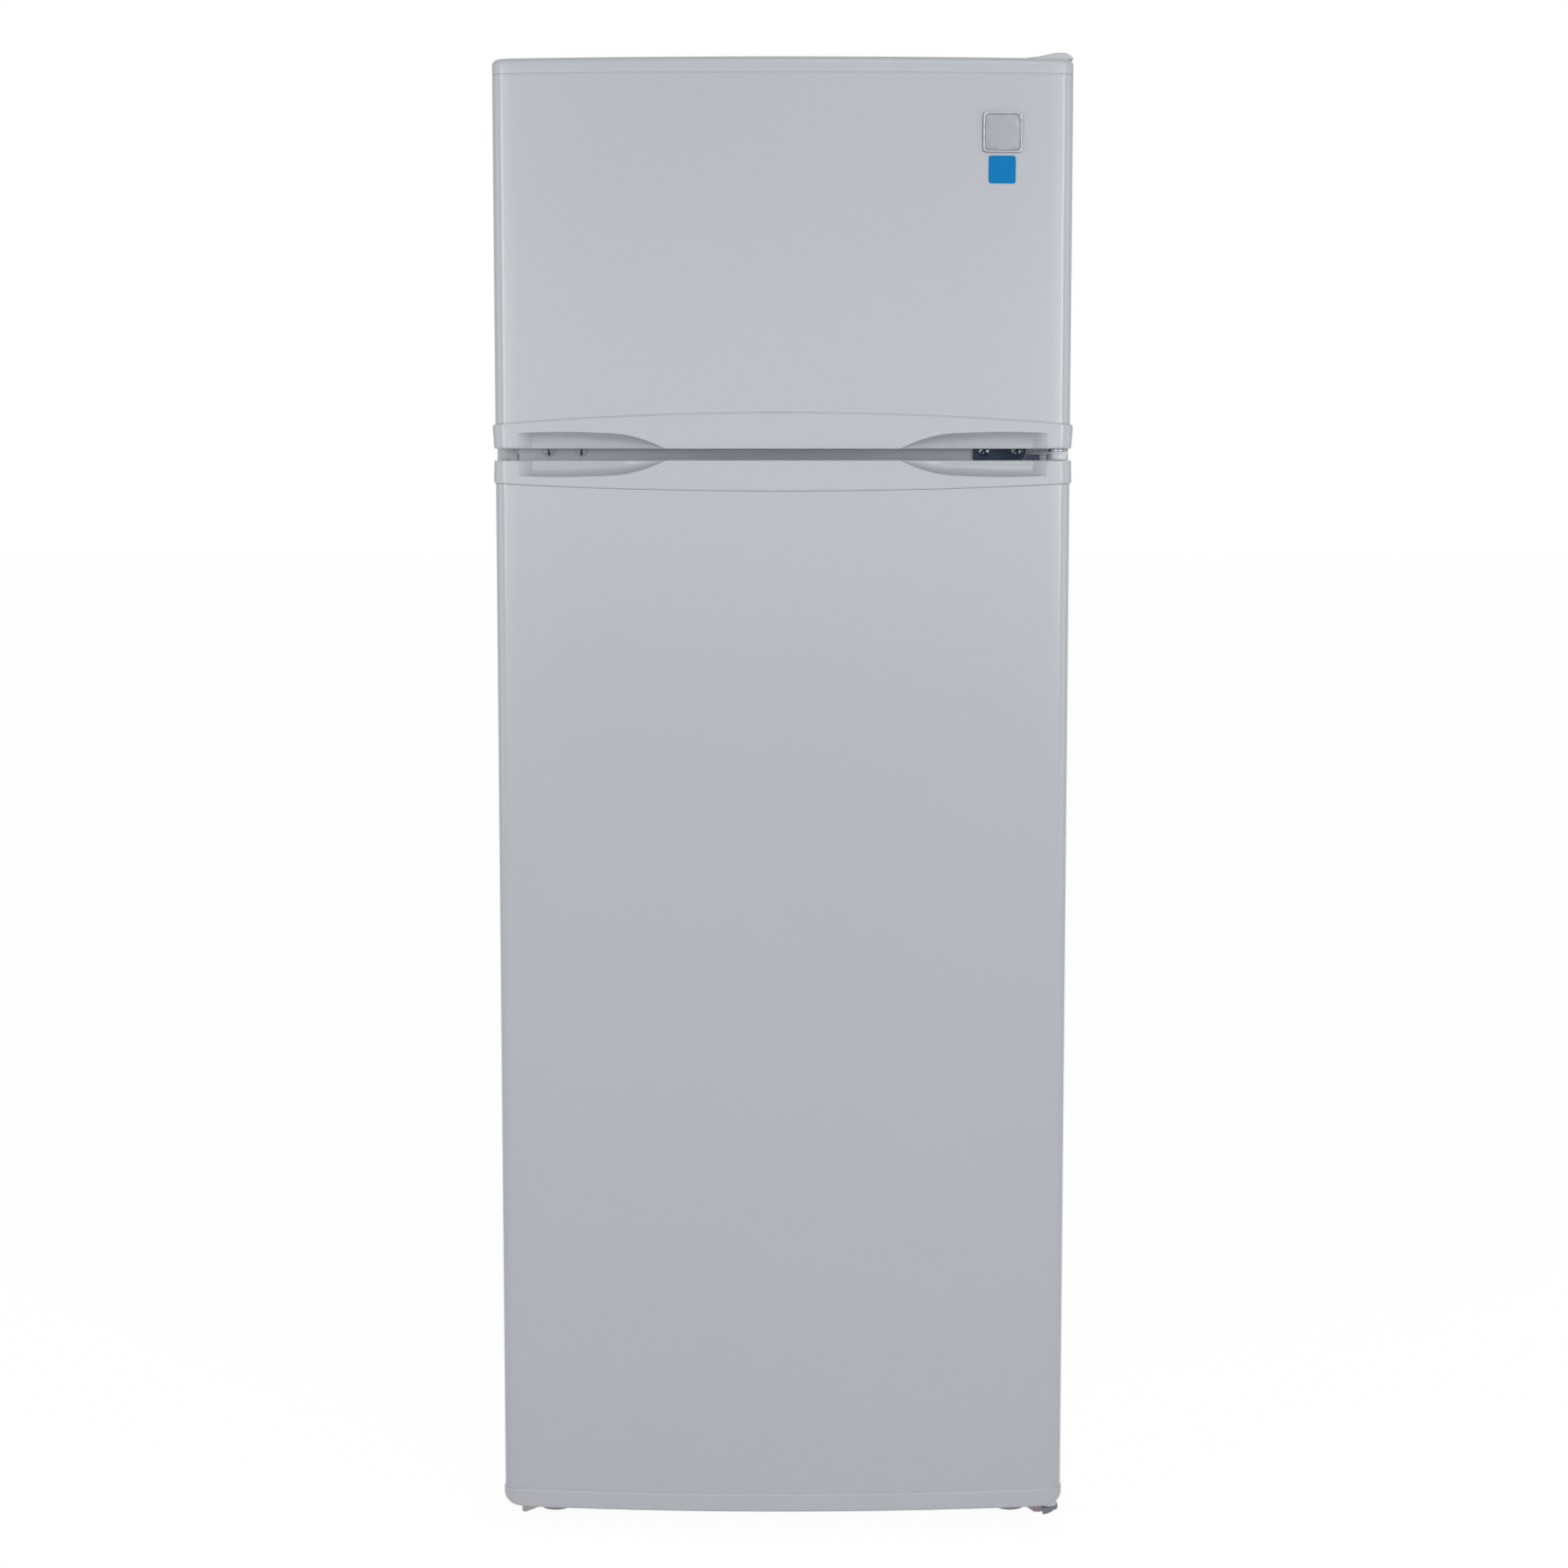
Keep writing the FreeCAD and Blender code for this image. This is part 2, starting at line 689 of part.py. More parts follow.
def fresh_caps():
    low_edge = f"({Z_SPLIT}-fresh_top_cap)"
    top = straight_cap("FreshTopCap", low_edge, "fresh_top_cap", "lower_ear")
    taper_sides(top, low_edge, Z_SPLIT, "lower_ear", "ear_tip")
    arched_tongue(top, low_edge, "fresh_top_arch", -1)
    spigot(top, f"{low_edge}-fresh_top_arch", "fresh_top_arch")
    grips = grip_cutter("LowerGrip", Z_SPLIT, -1)
    hole = pin_hole(f"{Z_SPLIT}-pin_reach", "pin_reach")
    keep("fresh_door_top_cap", removed(top, grips + [hole], "FreshTopBored"))

    high = f"({Z_FRESH}+fresh_low_cap)"
    low = straight_cap("FreshLowCap", Z_FRESH, "fresh_low_cap", "foot_ear")
    for side, turn in (("-", 1), ("", -1)):
        edge = f"({side}({HALF}+foot_ear))"
        inner = f"({side}({HALF}+foot_ear-foot_round))"
        away = f"({side}({HALF}+foot_ear+5))"
        start = (edge, f"{Z_FRESH}+foot_round")
        end = (inner, Z_FRESH)
        outside = [(inner, f"{Z_FRESH}-5"), (away, f"{Z_FRESH}-5"),
                   (away, f"{Z_FRESH}+foot_round")]
        drawing = outline(low, "XZ_Plane", "0", [start, end] + outside,
                          {0: ("foot_round", turn)}, name="FootCorner")
        pocket(low, drawing, name="FootRound")
    spigot(low, high, "cap_spigot/2")
    hole = pin_hole(Z_FRESH, "pin_reach")
    keep("fresh_door_bottom_cap", removed(low, [hole], "FreshLowBored"))


def frame_sketch(body, offset, outer, inner, name="Frame"):
    """A rectangular ring drawn on the front plane: outer and inner are x, z low, z high."""
    x, low, high = outer
    drawing = outline(body, "XZ_Plane", offset, rectangle(f"-{x}", low, x, high), name=name)
    x, low, high = inner
    add_loop(drawing, rectangle(f"-{x}", low, x, high), {})
    return drawing


def gasket(node, z_low, z_high):
    """The magnetic seal: a rubber frame with its bellows between door and cabinet."""
    body = new_body(node)
    outer = (f"({HALF}-gasket_inset)", f"({z_low}+gasket_inset)", f"({z_high}-gasket_inset)")
    inset = "(gasket_inset+gasket_width)"
    inner = (f"({HALF}-{inset})", f"({z_low}+{inset})", f"({z_high}-{inset})")
    drawing = frame_sketch(body, f"-{Y_BACK}", outer, inner)
    pad(body, drawing, "door_setback-seal_clearance", reverse=True, name="Seal")
    x, low, high = inner
    slot = "door_setback/3"
    ring_outer = (f"({x}+gasket_width/3)", f"({low}-gasket_width/3)", f"({high}+gasket_width/3)")
    drawing = frame_sketch(body, f"-{Y_BACK}-{slot}", ring_outer, inner, "BellowsFold")
    pocket(body, drawing, slot, reverse=True, name="Bellows")
    return keep(node, body)


def door_liner(node, z_low, z_high, seats):
    """Formed inner panel with a raised dyke that carries the bins on small bosses."""
    body = new_body(node)
    half = f"({HALF}-sheet_gauge)"
    face = f"-{Y_BACK}+sheet_gauge"
    panel = outline(body, "XZ_Plane", face, rectangle(f"-{half}", z_low, half, z_high))
    pad(body, panel, "liner_wall", name="Panel")
    outer = (f"({HALF}-dyke_inset)", f"({z_low}+dyke_end_inset)", f"({z_high}-dyke_end_inset)")
    x, low, high = outer
    inner = (f"({x}-dyke_width)", f"({low}+dyke_width)", f"({high}-dyke_width)")
    drawing = frame_sketch(body, face, outer, inner, "Dyke")
    pad(body, drawing, "dyke_rise+sheet_gauge", reverse=True, name="DykeRise")

    def dyke_corner(edge):
        middle = edge.CenterOfMass
        return is_line_along(edge, Vector(0, 1, 0)) and edge.Length > val("dyke_rise")*0.9 \
            and abs(abs(middle.x) - val(x)) < 0.01
    round_edges(body, "dyke_round", dyke_corner, "DykeCorners")
    for number, seat in enumerate(seats):
        for side in (-1, 1):
            edge = f"({side}*({inner[0]}))"
            tip = f"({side}*({inner[0]}-boss_reach))"
            corners = rectangle(edge, f"{seat}-boss_height", tip, seat)
            if side > 0:
                corners = rectangle(tip, f"{seat}-boss_height", edge, seat)
            drawing = outline(body, "XZ_Plane", face, corners)
            pad(body, drawing, "dyke_rise+sheet_gauge", reverse=True, name=f"Boss{number}")
    return keep(node, body)


def door_foam(node, low, high):
    """Rigid foam between the skin, the caps and the liner of a door."""
    body = new_body(node)
    corners, arcs = door_section(f"({HALF}-sheet_gauge)", "sheet_gauge",
                                 f"({Y_BACK}-sheet_gauge-liner_wall)")
    pad(body, outline(body, "XY_Plane", low, corners, arcs), f"{high}-{low}", name="Foam")
    return keep(node, body)


def door_bin(node, seat, height):
    """A lift-out bin with rounded front corners, open above, that rests on two bosses."""
    body = new_body(node)
    half = f"({HALF}-dyke_inset-dyke_width-bin_gap)"
    near = f"({Y_BACK}+bin_gap)"
    far = f"({near}+bin_depth)"
    bottom = f"({seat}+joint_clearance)"
    corners, arcs = rounded_rectangle(half, near, far, None, "bin_round")
    pad(body, outline(body, "XY_Plane", bottom, corners, arcs), height, name="Blank")
    corners, arcs = rounded_rectangle(f"{half}-bin_wall", f"({near}+bin_wall)",
                                      f"({far}-bin_wall)", None, "bin_round-bin_wall")
    drawing = outline(body, "XY_Plane", f"{bottom}+bin_wall", corners, arcs, "Inside")
    pocket(body, drawing, height, reverse=True, name="Hollow")
    return keep(node, body)


# ---------------------------------------------------------------- cabinet
def sheet_across(name, profile, half=f"({CABINET}-sheet_gauge)"):
    """A bent sheet: its side profile on the YZ plane, carried across the cabinet."""
    body = new_body(name)
    pad(body, outline(body, "YZ_Plane", f"-{half}", profile), f"2*{half}", name="Sheet")
    return body


def cabinet_shell():
    """Sides and top in one wrapped sheet, with its front edges turned inwards."""
    body = new_body("CabinetShell")
    wall = f"({CABINET}-sheet_gauge)"
    low = "cabinet_bottom"
    under = f"{Z_TOP}-sheet_gauge"
    corners = [(f"-{CABINET}", low), (f"-{wall}", low), (f"-{wall}", under), (wall, under)]
    corners += [(wall, low), (CABINET, low), (CABINET, Z_TOP), (f"-{CABINET}", Z_TOP)]
    drawing = outline(body, "XZ_Plane", f"-{Y_FRAME}", corners)
    pad(body, drawing, "cabinet_depth", reverse=True, name="Wrap")
    under = f"{Z_TOP}-frame_side"
    corners = [(f"-{CABINET}", low), (f"-{X_FRAME}", low), (f"-{X_FRAME}", under)]
    corners += [(X_FRAME, under), (X_FRAME, low), (CABINET, low), (CABINET, Z_TOP)]
    corners += [(f"-{CABINET}", Z_TOP)]
    drawing = outline(body, "XZ_Plane", f"-{Y_FRAME}", corners, name="FrontEdge")
    pad(body, drawing, "sheet_gauge", reverse=True, name="FrontReturn")
    keep("cabinet_shell", body)


def base_pan():
    """Bottom sheet: front apron, its bottom return and the floor of the machine space."""
    low = "cabinet_bottom"
    face = Y_LINER
    inside = f"({Y_LINER}+sheet_gauge)"
    tail = f"({Y_LINER}+base_return)"
    floor = Z_FLOOR
    top = "(cabinet_bottom+sill_height)"
    profile = [(face, low), (tail, low), (tail, f"{low}+sheet_gauge")]
    profile += [(inside, f"{low}+sheet_gauge"), (inside, floor), (Y_REAR, floor)]
    profile += [(Y_REAR, f"{floor}+sheet_gauge"), (inside, f"{floor}+sheet_gauge")]
    profile += [(inside, top), (face, top)]
    pan = sheet_across("BasePan", profile)
    holes = []
    for side in ("-", ""):
        x, y = foot_place(side)
        holes.append(rod(x, y, f"{low}-5", "stem_radius+2", "10", name="StemHole"))
    keep("base_pan", removed(pan, holes, "BasePanDrilled"))


def back_panel():
    """Back sheet, bent forwards over the machine space and down its front wall."""
    top = f"({Z_TOP}-sheet_gauge)"
    floor = f"({Z_FLOOR}+sheet_gauge)"
    profile = [(Y_REAR, top), (Y_REAR, Z_CABIN), (Y_CABIN, Z_CABIN), (Y_CABIN, floor)]
    profile += [(f"{Y_CABIN}-sheet_gauge", floor)]
    profile += [(f"{Y_CABIN}-sheet_gauge", f"{Z_CABIN}+sheet_gauge")]
    profile += [(f"{Y_REAR}-sheet_gauge", f"{Z_CABIN}+sheet_gauge")]
    profile += [(f"{Y_REAR}-sheet_gauge", top)]
    keep("back_panel", sheet_across("BackPanel", profile))


def tub(name, half, z_floor, z_ceiling, hump, grow="0"):
    """The room of a compartment, grown by a wall; the hump is the machine space's step."""
    front = Y_LINER
    back = f"({Y_FRESH_BACK}+{grow})"
    low = f"({z_floor}-{grow})"
    high = f"({z_ceiling}+{grow})"
    if hump:
        step_y = f"({Y_HUMP}+{grow})"
        step_z = f"({Z_HUMP}-{grow})"
        profile = [(front, low), (step_y, low), (step_y, step_z), (back, step_z)]
        profile += [(back, high), (front, high)]
    else:
        profile = [(front, low), (back, low), (back, high), (front, high)]
    body = sheet_across(name, profile, f"({half}+{grow})")
    reach = val(f"{half}+{grow}")
    shortest = val(f"({Y_HUMP}-{Y_LINER})*0.9")

    def long_edge(edge):
        at_side = abs(abs(edge.CenterOfMass.x) - reach) < 0.01
        return at_side and is_line_along(edge, Vector(0, 1, 0)) and edge.Length > shortest
    round_edges(body, f"liner_round+{grow}", long_edge, "LongCorners")
    return body


def compartment_liner(node, half, z_floor, z_ceiling, z_low, z_high, levels, hump=False):
    """Formed liner: a tub with a front flange and a pair of shelf ribs at each level."""
    outer = tub(node + "Outer", half, z_floor, z_ceiling, hump, "liner_wall")
    flange_half = f"({CABINET}-sheet_gauge)"
    flange = new_body(node + "Flange")
    corners = rectangle(f"-{flange_half}", z_low, flange_half, z_high)
    drawing = outline(flange, "XZ_Plane", f"-{Y_LINER}", corners)
    pad(flange, drawing, "liner_wall", reverse=True, name="Flange")
    inner = tub(node + "Inner", half, z_floor, z_ceiling, hump)
    formed = removed(united([outer, flange], node + "Blank"), [inner], node + "Formed")
    ribs = []
    for level in levels:
        end = Y_HUMP if level == Z_HUMP else Y_FRESH_BACK
        length = f"({end}-{Y_SHELF})"
        for side in (-1, 1):
            x = f"({half}-rib_depth)" if side > 0 else f"(-{half})"
            ribs.append(block(x, Y_SHELF, f"{level}-rib_height", "rib_depth", length,
                              "rib_height", "ShelfRib"))
    keep(node, united([formed] + ribs, node + "Ribbed"))


def liners_and_foam():
    flange = ("(cabinet_bottom+sill_height)", f"({Z_MIDDLE}-mullion_height/2)")
    levels = ["lower_shelf_height", "upper_shelf_height", Z_HUMP]
    compartment_liner("fresh_food_liner", X_FRESH, Z_FRESH_FLOOR, Z_FRESH_CEILING,
                      *flange, levels, hump=True)
    flange = (f"({Z_MIDDLE}+mullion_height/2)", f"({Z_TOP}-sheet_gauge)")
    levels = [f"({Z_FREEZER_FLOOR}+freezer_shelf_height)"]
    compartment_liner("freezer_liner", X_FREEZER, Z_FREEZER_FLOOR, Z_FREEZER_CEILING,
                      *flange, levels)
    half = f"({CABINET}-sheet_gauge)"
    front = f"({Y_LINER}+liner_wall)"
    floor = f"({Z_FLOOR}+sheet_gauge)"
    foam = block(f"-{half}", front, floor, f"2*{half}", f"{Y_REAR}-sheet_gauge-{front}",
                 f"{Z_TOP}-sheet_gauge-{floor}", "FoamFill")
    fresh = tub("FreshRoom", X_FRESH, Z_FRESH_FLOOR, Z_FRESH_CEILING, True, "liner_wall")
    freezer = tub("FreezerRoom", X_FREEZER, Z_FREEZER_FLOOR, Z_FREEZER_CEILING, False,
                  "liner_wall")
    cabin = block(f"-{half}", f"{Y_CABIN}-sheet_gauge", floor, f"2*{half}", "cabin_depth+10",
                  f"{Z_CABIN}+sheet_gauge-{floor}", "MachineSpace")
    keep("insulation_foam", removed(foam, [fresh, freezer, cabin], "Foam"))


def mullion_rail():
    half = f"({CABINET}-sheet_gauge)"
    low = f"({Z_MIDDLE}-mullion_height/2)"
    body = new_body("MullionRail")
    corners = rectangle(f"-{half}", low, half, f"{low}+mullion_height")
    drawing = outline(body, "XZ_Plane", f"-{Y_LINER}", corners)
    pad(body, drawing, "liner_wall", reverse=True, name="Rail")
    keep("mullion_rail", body)
    plugs = []
    for step in (0, 1):
        x = f"-({X_SCREW}+{step}*screw_pitch)"
        head = f"({Y_LINER}-screw_head_height)"
        plug = rod(x, head, screw_level(), "plug_radius", "screw_head_height", "y",
                   "small_sides", "Plug")
        slot = block(f"{x}-0.6", head, f"{screw_level()}-plug_radius", "1.2", "1",
                     "2*plug_radius", "PlugSlot")
        plugs.append(removed(plug, [slot], "SlottedPlug"))
    keep("hinge_hole_plugs", grouped(plugs, "Plugs"))


# ---------------------------------------------------------------- hinges and feet
def screw_level():
    """Height of the middle hinge's screws and of the plugs in the spare holes."""
    return f"({Z_FREEZER}-1.5)"


def foot_place(side):
    return f"({side}({HALF}-foot_inset))", f"({Y_LINER}+foot_setback)"


def knuckle_plate(body, z, gauge, left, right, back, name="Leaf"):
    """A flat leaf that narrows to a round knuckle about the hinge pin."""
    corners = [(left, back), (left, f"{Y_PIN}+40"), (f"{X_PIN}-hinge_knuckle", Y_PIN)]
    corners += [(f"{X_PIN}+hinge_knuckle", Y_PIN), (right, back)]
    pad(body, outline(body, "XY_Plane", z, corners, name=name), gauge, name=name)
    knuckle(body, z, gauge)


def knuckle(body, z, gauge):
    drawing = disc(body, "XY_Plane", z, X_PIN, Y_PIN, "hinge_knuckle", "KnuckleOutline")
    pad(body, drawing, gauge, name="Knuckle")


def hinge_pin(body, z_low, z_high):
    drawing = disc(body, "XY_Plane", z_low, X_PIN, Y_PIN, "pin_radius", "PinOutline")
    pad(body, drawing, f"{z_high}-{z_low}", name="Pin")


def ring(x, y, z, radius, bore, height, name="Ring"):
    """A turned ring with a true round bore."""
    outside = rod(x, y, z, radius, height, "z", "small_sides", name)
    inside = rod(x, y, f"{z}-1", bore, f"{height}+2", name=name + "Bore")
    return removed(outside, [inside], name + "Turned")


def top_hinge():
    body = new_body("TopHingeBracket")
    right = f"({X_PIN}+hinge_knuckle)"
    knuckle_plate(body, Z_TOP, "plate_gauge", f"{X_PIN}-leaf_side", right,
                  f"{Y_FRAME}+leaf_length")
    hinge_pin(body, f"({Z_DOOR_TOP}-pin_reach+1)", f"({Z_TOP}+plate_gauge)")
    keep("top_hinge_bracket", body)

    cover = new_body("TopHingeCover")
    top = f"({Z_TOP}+hood_height)"
    left = f"({X_PIN}-hood_side)"
    edge = f"({HALF}+hood_beyond)"
    corners = [(left, Z_TOP), (edge, Z_TOP), (edge, f"{top}-hood_slope")]
    corners += [(f"{edge}-hood_bevel", top), (f"{X_PIN}-hinge_knuckle", top)]
    back = f"({Y_FRAME}+leaf_length+8)"
    front = f"({Y_PIN}-hinge_knuckle-hood_wall-joint_clearance)"
    drawing = outline(cover, "XZ_Plane", f"-{back}", corners)
    pad(cover, drawing, f"{back}-{front}", name="Hood")

    def front_corner(line):
        at_front = abs(line.CenterOfMass.y - val(front)) < 0.01
        return at_front and line.CenterOfMass.z > val(Z_TOP) + 1
    round_edges(cover, "hood_round", front_corner, "FrontRound")
    wall = "hood_wall"
    inside = f"({X_PIN}-leaf_side-4)"
    outer = f"({right}+joint_clearance)"
    low = f"({Z_TOP}-1)"
    corners = [(inside, low), (outer, low), (outer, f"{top}-hood_slope-{wall}/2")]
    corners += [(f"{edge}-hood_bevel-{wall}/2", f"{top}-{wall}")]
    corners += [(f"{X_PIN}-hinge_knuckle+{wall}/2", f"{top}-{wall}")]
    corners += [(inside, f"{top}-hood_slope-{wall}/2")]
    drawing = outline(cover, "XZ_Plane", f"-({back}-{wall})", corners, name="Inside")
    pocket(cover, drawing, f"{back}-{front}-2*{wall}", reverse=True, name="Hollow")
    keep("top_hinge_cover", cover)


def middle_hinge():
    body = new_body("MiddleHingeBracket")
    left = f"({X_SCREW}-arm_left)"
    right = f"({X_SCREW}+screw_pitch+arm_right)"
    tall = f"{Z_MIDDLE}-mullion_height/5"
    corners = rectangle(left, tall, right, f"{Z_MIDDLE}+mullion_height/5")
    drawing = outline(body, "XZ_Plane", f"-{Y_LINER}", corners)
    pad(body, drawing, "plate_gauge", name="Plate")
    back = f"({Y_LINER}-plate_gauge/2)"
    corners = [(f"{right}-arm_width", back), (f"{X_PIN}-hinge_knuckle", Y_PIN)]
    corners += [(f"{X_PIN}+hinge_knuckle", Y_PIN), (right, back)]
    drawing = outline(body, "XY_Plane", Z_MIDDLE, corners, name="Arm")
    pad(body, drawing, "plate_gauge", name="Arm")
    knuckle(body, Z_MIDDLE, "plate_gauge")
    hinge_pin(body, f"({Z_SPLIT}-pin_reach+1)", f"({Z_FREEZER}+pin_reach-1)")
    keep("middle_hinge_bracket", body)
    bore = "(pin_radius+pin_clearance)"
    low = f"({Z_MIDDLE}+plate_gauge)"
    washer = ring(X_PIN, Y_PIN, low, "washer_radius", bore,
                  f"{Z_FREEZER}-joint_clearance-{low}", "Washer")
    keep("middle_hinge_washer", washer)
    low = f"({Z_SPLIT}+joint_clearance)"
    upper = ring(X_PIN, Y_PIN, low, "spacer_radius", bore, f"{Z_MIDDLE}-{low}", "Spacer")
    lower = ring(X_PIN, Y_PIN, "cabinet_bottom", "spacer_radius", bore,
                 "door_bottom-joint_clearance-cabinet_bottom", "Spacer")
    keep("hinge_spacers", grouped([upper, lower], "Spacers"))


def bottom_brackets():
    low = "(cabinet_bottom-plate_gauge)"
    edge = f"({X_PIN}+hinge_knuckle)"
    inner = f"({HALF}-foot_inset-24)"
    back = f"({Y_LINER}+base_return)"
    body = new_body("BottomHingeBracket")
    knuckle_plate(body, low, "plate_gauge", inner, edge, back)
    hinge_pin(body, low, "(door_bottom+pin_reach-1)")
    lip = f"({HALF}-lip_inset)"
    corners = [(lip, low), (lip, "lip_low"), (f"{lip}+lip_rise-1", "lip_low")]
    corners += [(edge, "lip_low+lip_rise"), (edge, low)]
    drawing = outline(body, "XZ_Plane", f"-({Y_LINER}-lip_rise)", corners, name="Lip")
    pad(body, drawing, "plate_gauge", name="Lip")
    x, y = foot_place("")
    hole = rod(x, y, f"{low}-1", "stem_radius+pin_clearance", "plate_gauge+2", name="Thread")
    keep("bottom_hinge_bracket", removed(body, [hole], "BottomHingeDrilled"))

    plate = block(f"-{edge}", Y_LINER, low, f"{edge}-{inner}", "base_return", "plate_gauge",
                  "FootPlate")
    x, y = foot_place("-")
    hole = rod(x, y, f"{low}-1", "stem_radius+pin_clearance", "plate_gauge+2", name="Thread")
    keep("left_foot_bracket", removed(plate, [hole], "FootPlateDrilled"))

    blocks = []
    inner = f"({HALF}-wedge_inner)"
    outer = f"({HALF}-wedge_outer)"
    for side in ("", "-"):
        body = new_body("CornerBlock")
        corners = [(f"{side}{inner}", low), (f"{side}{inner}", "wedge_high")]
        corners += [(f"{side}({outer}-3)", "wedge_low"), (f"{side}{outer}", "wedge_low+1")]
        corners += [(f"{side}{outer}", low)]
        drawing = outline(body, "XZ_Plane", f"-{Y_LINER}-wedge_depth", corners)
        pad(body, drawing, "wedge_depth", name="Wedge")
        blocks.append(body)
    keep("front_corner_blocks", grouped(blocks, "CornerBlocks"))


def hinge_screws():
    """Screw heads of the three hinges; the threads are left inside the sheet."""
    heads = []
    for step in (0, 1):
        x = f"({X_SCREW}+{step}*screw_pitch)"
        y = f"({Y_LINER}-plate_gauge-screw_head_height)"
        heads.append(rod(x, y, screw_level(), "screw_head_radius", "screw_head_height", "y",
                         "small_sides", "MiddleScrew"))
    for step in (0, 1, 2):
        y = f"({Y_FRAME}+leaf_screw_first+{step}*leaf_screw_pitch)"
        heads.append(rod(f"{X_PIN}-leaf_screw_side", y, f"{Z_TOP}+plate_gauge", "screw_head_radius-1",
                         "screw_head_height", "z", "small_sides", "TopScrew"))
    keep("hinge_screws", grouped(heads, "Screws"))


def levelling_foot(node, side):
    """A foot: a disc on the floor and a stem that turns in the bracket's thread."""
    x, y = foot_place(side)
    disc_pad = rod(x, y, "0", "foot_radius", "foot_thickness", "z", "round_sides", "FootPad")
    stem = rod(x, y, "foot_thickness", "stem_radius",
               "cabinet_bottom+base_floor-2-foot_thickness", name="FootStem")
    keep(node, united([disc_pad, stem], "Foot"))


def rear_rollers():
    y = f"({Y_REAR}-roller_setback)"
    top = f"({Z_FLOOR}-plate_gauge)"
    ear = "(roller_width/2+0.5)"
    brackets = []
    for side, node in (("-", "left_rear_roller"), ("", "right_rear_roller")):
        x = f"({side}({HALF}-roller_inset))"
        start = f"({x}-{ear}-plate_gauge)"
        width = f"2*({ear}+plate_gauge)"
        plate = block(start, f"{y}-roller_plate/2", top, width, "roller_plate",
                      "plate_gauge", "RollerPlate")
        sides = [block(begin, f"{y}-roller_ear/2", "roller_radius-roller_ear/3",
                       "plate_gauge", "roller_ear", f"{top}-roller_radius+roller_ear/3",
                       "RollerEar")
                 for begin in (start, f"({x}+{ear})")]
        axle = rod(start, y, "roller_radius", "roller_axle", width, "x", name="RollerAxle")
        brackets.append(united([plate, axle] + sides, "RollerBracket"))
        wheel = rod(f"{x}-roller_width/2", y, "roller_radius", "roller_radius",
                    "roller_width", "x", "round_sides", "Wheel")
        bore = rod(f"{x}-roller_width", y, "roller_radius", "roller_axle+pin_clearance",
                   "2*roller_width", "x", name="WheelBore")
        keep(node, removed(wheel, [bore], "Roller"))
    keep("rear_roller_brackets", grouped(brackets, "RollerBrackets"))


# ---------------------------------------------------------------- inside fittings
def shelves():
    half = f"({X_FRESH}-shelf_side_gap)"
    depth = f"({Y_FRESH_BACK}-2-{Y_SHELF})"
    trims = []
    levels = (("upper_glass_shelf", "upper_shelf_height"),
              ("lower_glass_shelf", "lower_shelf_height"), ("crisper_cover", Z_HUMP))
    for node, level in levels:
        glass = block(f"-{half}", Y_SHELF, level, f"2*{half}", depth, "shelf_thickness",
                      "Glass")
        keep(node, glass)
        trim = new_body("ShelfTrim")
        start = f"({Y_SHELF}-shelf_trim)"
        low = f"({level}-shelf_thickness)"
        high = f"({level}+2*shelf_thickness)"
        profile = [(Y_SHELF, low), (Y_SHELF, high), (f"{start}+5", high)]
        profile += [(start, f"{high}-5"), (start, low)]
        pad(trim, outline(trim, "YZ_Plane", f"-{half}", profile), f"2*{half}", name="Trim")
        trims.append(trim)
    keep("shelf_trims", grouped(trims, "ShelfTrims"))


def freezer_wire_shelf():
    """Welded rack: a frame of four rods with lighter rods across it."""
    half = f"({X_FREEZER}-shelf_side_gap)"
    near = Y_SHELF
    far = f"({Y_FRESH_BACK}-6)"
    frame_z = f"({Z_FREEZER_FLOOR}+freezer_shelf_height+wire_radius)"
    wires = []
    for y in (near, far):
        wires.append(rod(f"-{half}", y, frame_z, "wire_radius", f"2*{half}", "x", "4"))
    cross_z = f"({frame_z}+0.8*(wire_radius+rod_radius))"
    count = int(val("rod_count"))
    for number in range(count):
        x = f"(-{half}+6+{number}*(2*{half}-12)/(rod_count-1))"
        wires.append(rod(x, f"{near}-4", cross_z, "rod_radius", f"{far}-{near}+8", "y", "4"))
    keep("freezer_wire_shelf", united(wires, "WireShelf"))


def crisper_drawer():
    body = new_body("CrisperDrawer")
    half = f"({X_FRESH}-drawer_gap)"
    near = f"({Y_SHELF}-shelf_trim)"
    far = f"({Y_HUMP}-drawer_gap)"
    low = f"({Z_FRESH_FLOOR}+joint_clearance)"
    corners, arcs = rounded_rectangle(half, near, far, "drawer_round", "drawer_round")
    pad(body, outline(body, "XY_Plane", low, corners, arcs), "drawer_depth", name="Blank")
    radius = "drawer_round-drawer_wall"
    corners, arcs = rounded_rectangle(f"{half}-drawer_wall", f"({near}+drawer_wall)",
                                      f"({far}-drawer_wall)", radius, radius)
    drawing = outline(body, "XY_Plane", f"{low}+drawer_wall", corners, arcs, "Inside")
    pocket(body, drawing, "drawer_depth", reverse=True, name="Hollow")
    top = f"({low}+drawer_depth)"
    profile = [(near, f"{top}-16"), (f"{near}-9", f"{top}-6"), (f"{near}-9", top), (near, top)]
    drawing = outline(body, "YZ_Plane", f"-{half}/2", profile, name="PullOutline")
    pad(body, drawing, half, name="Pull")
    keep("crisper_drawer", body)


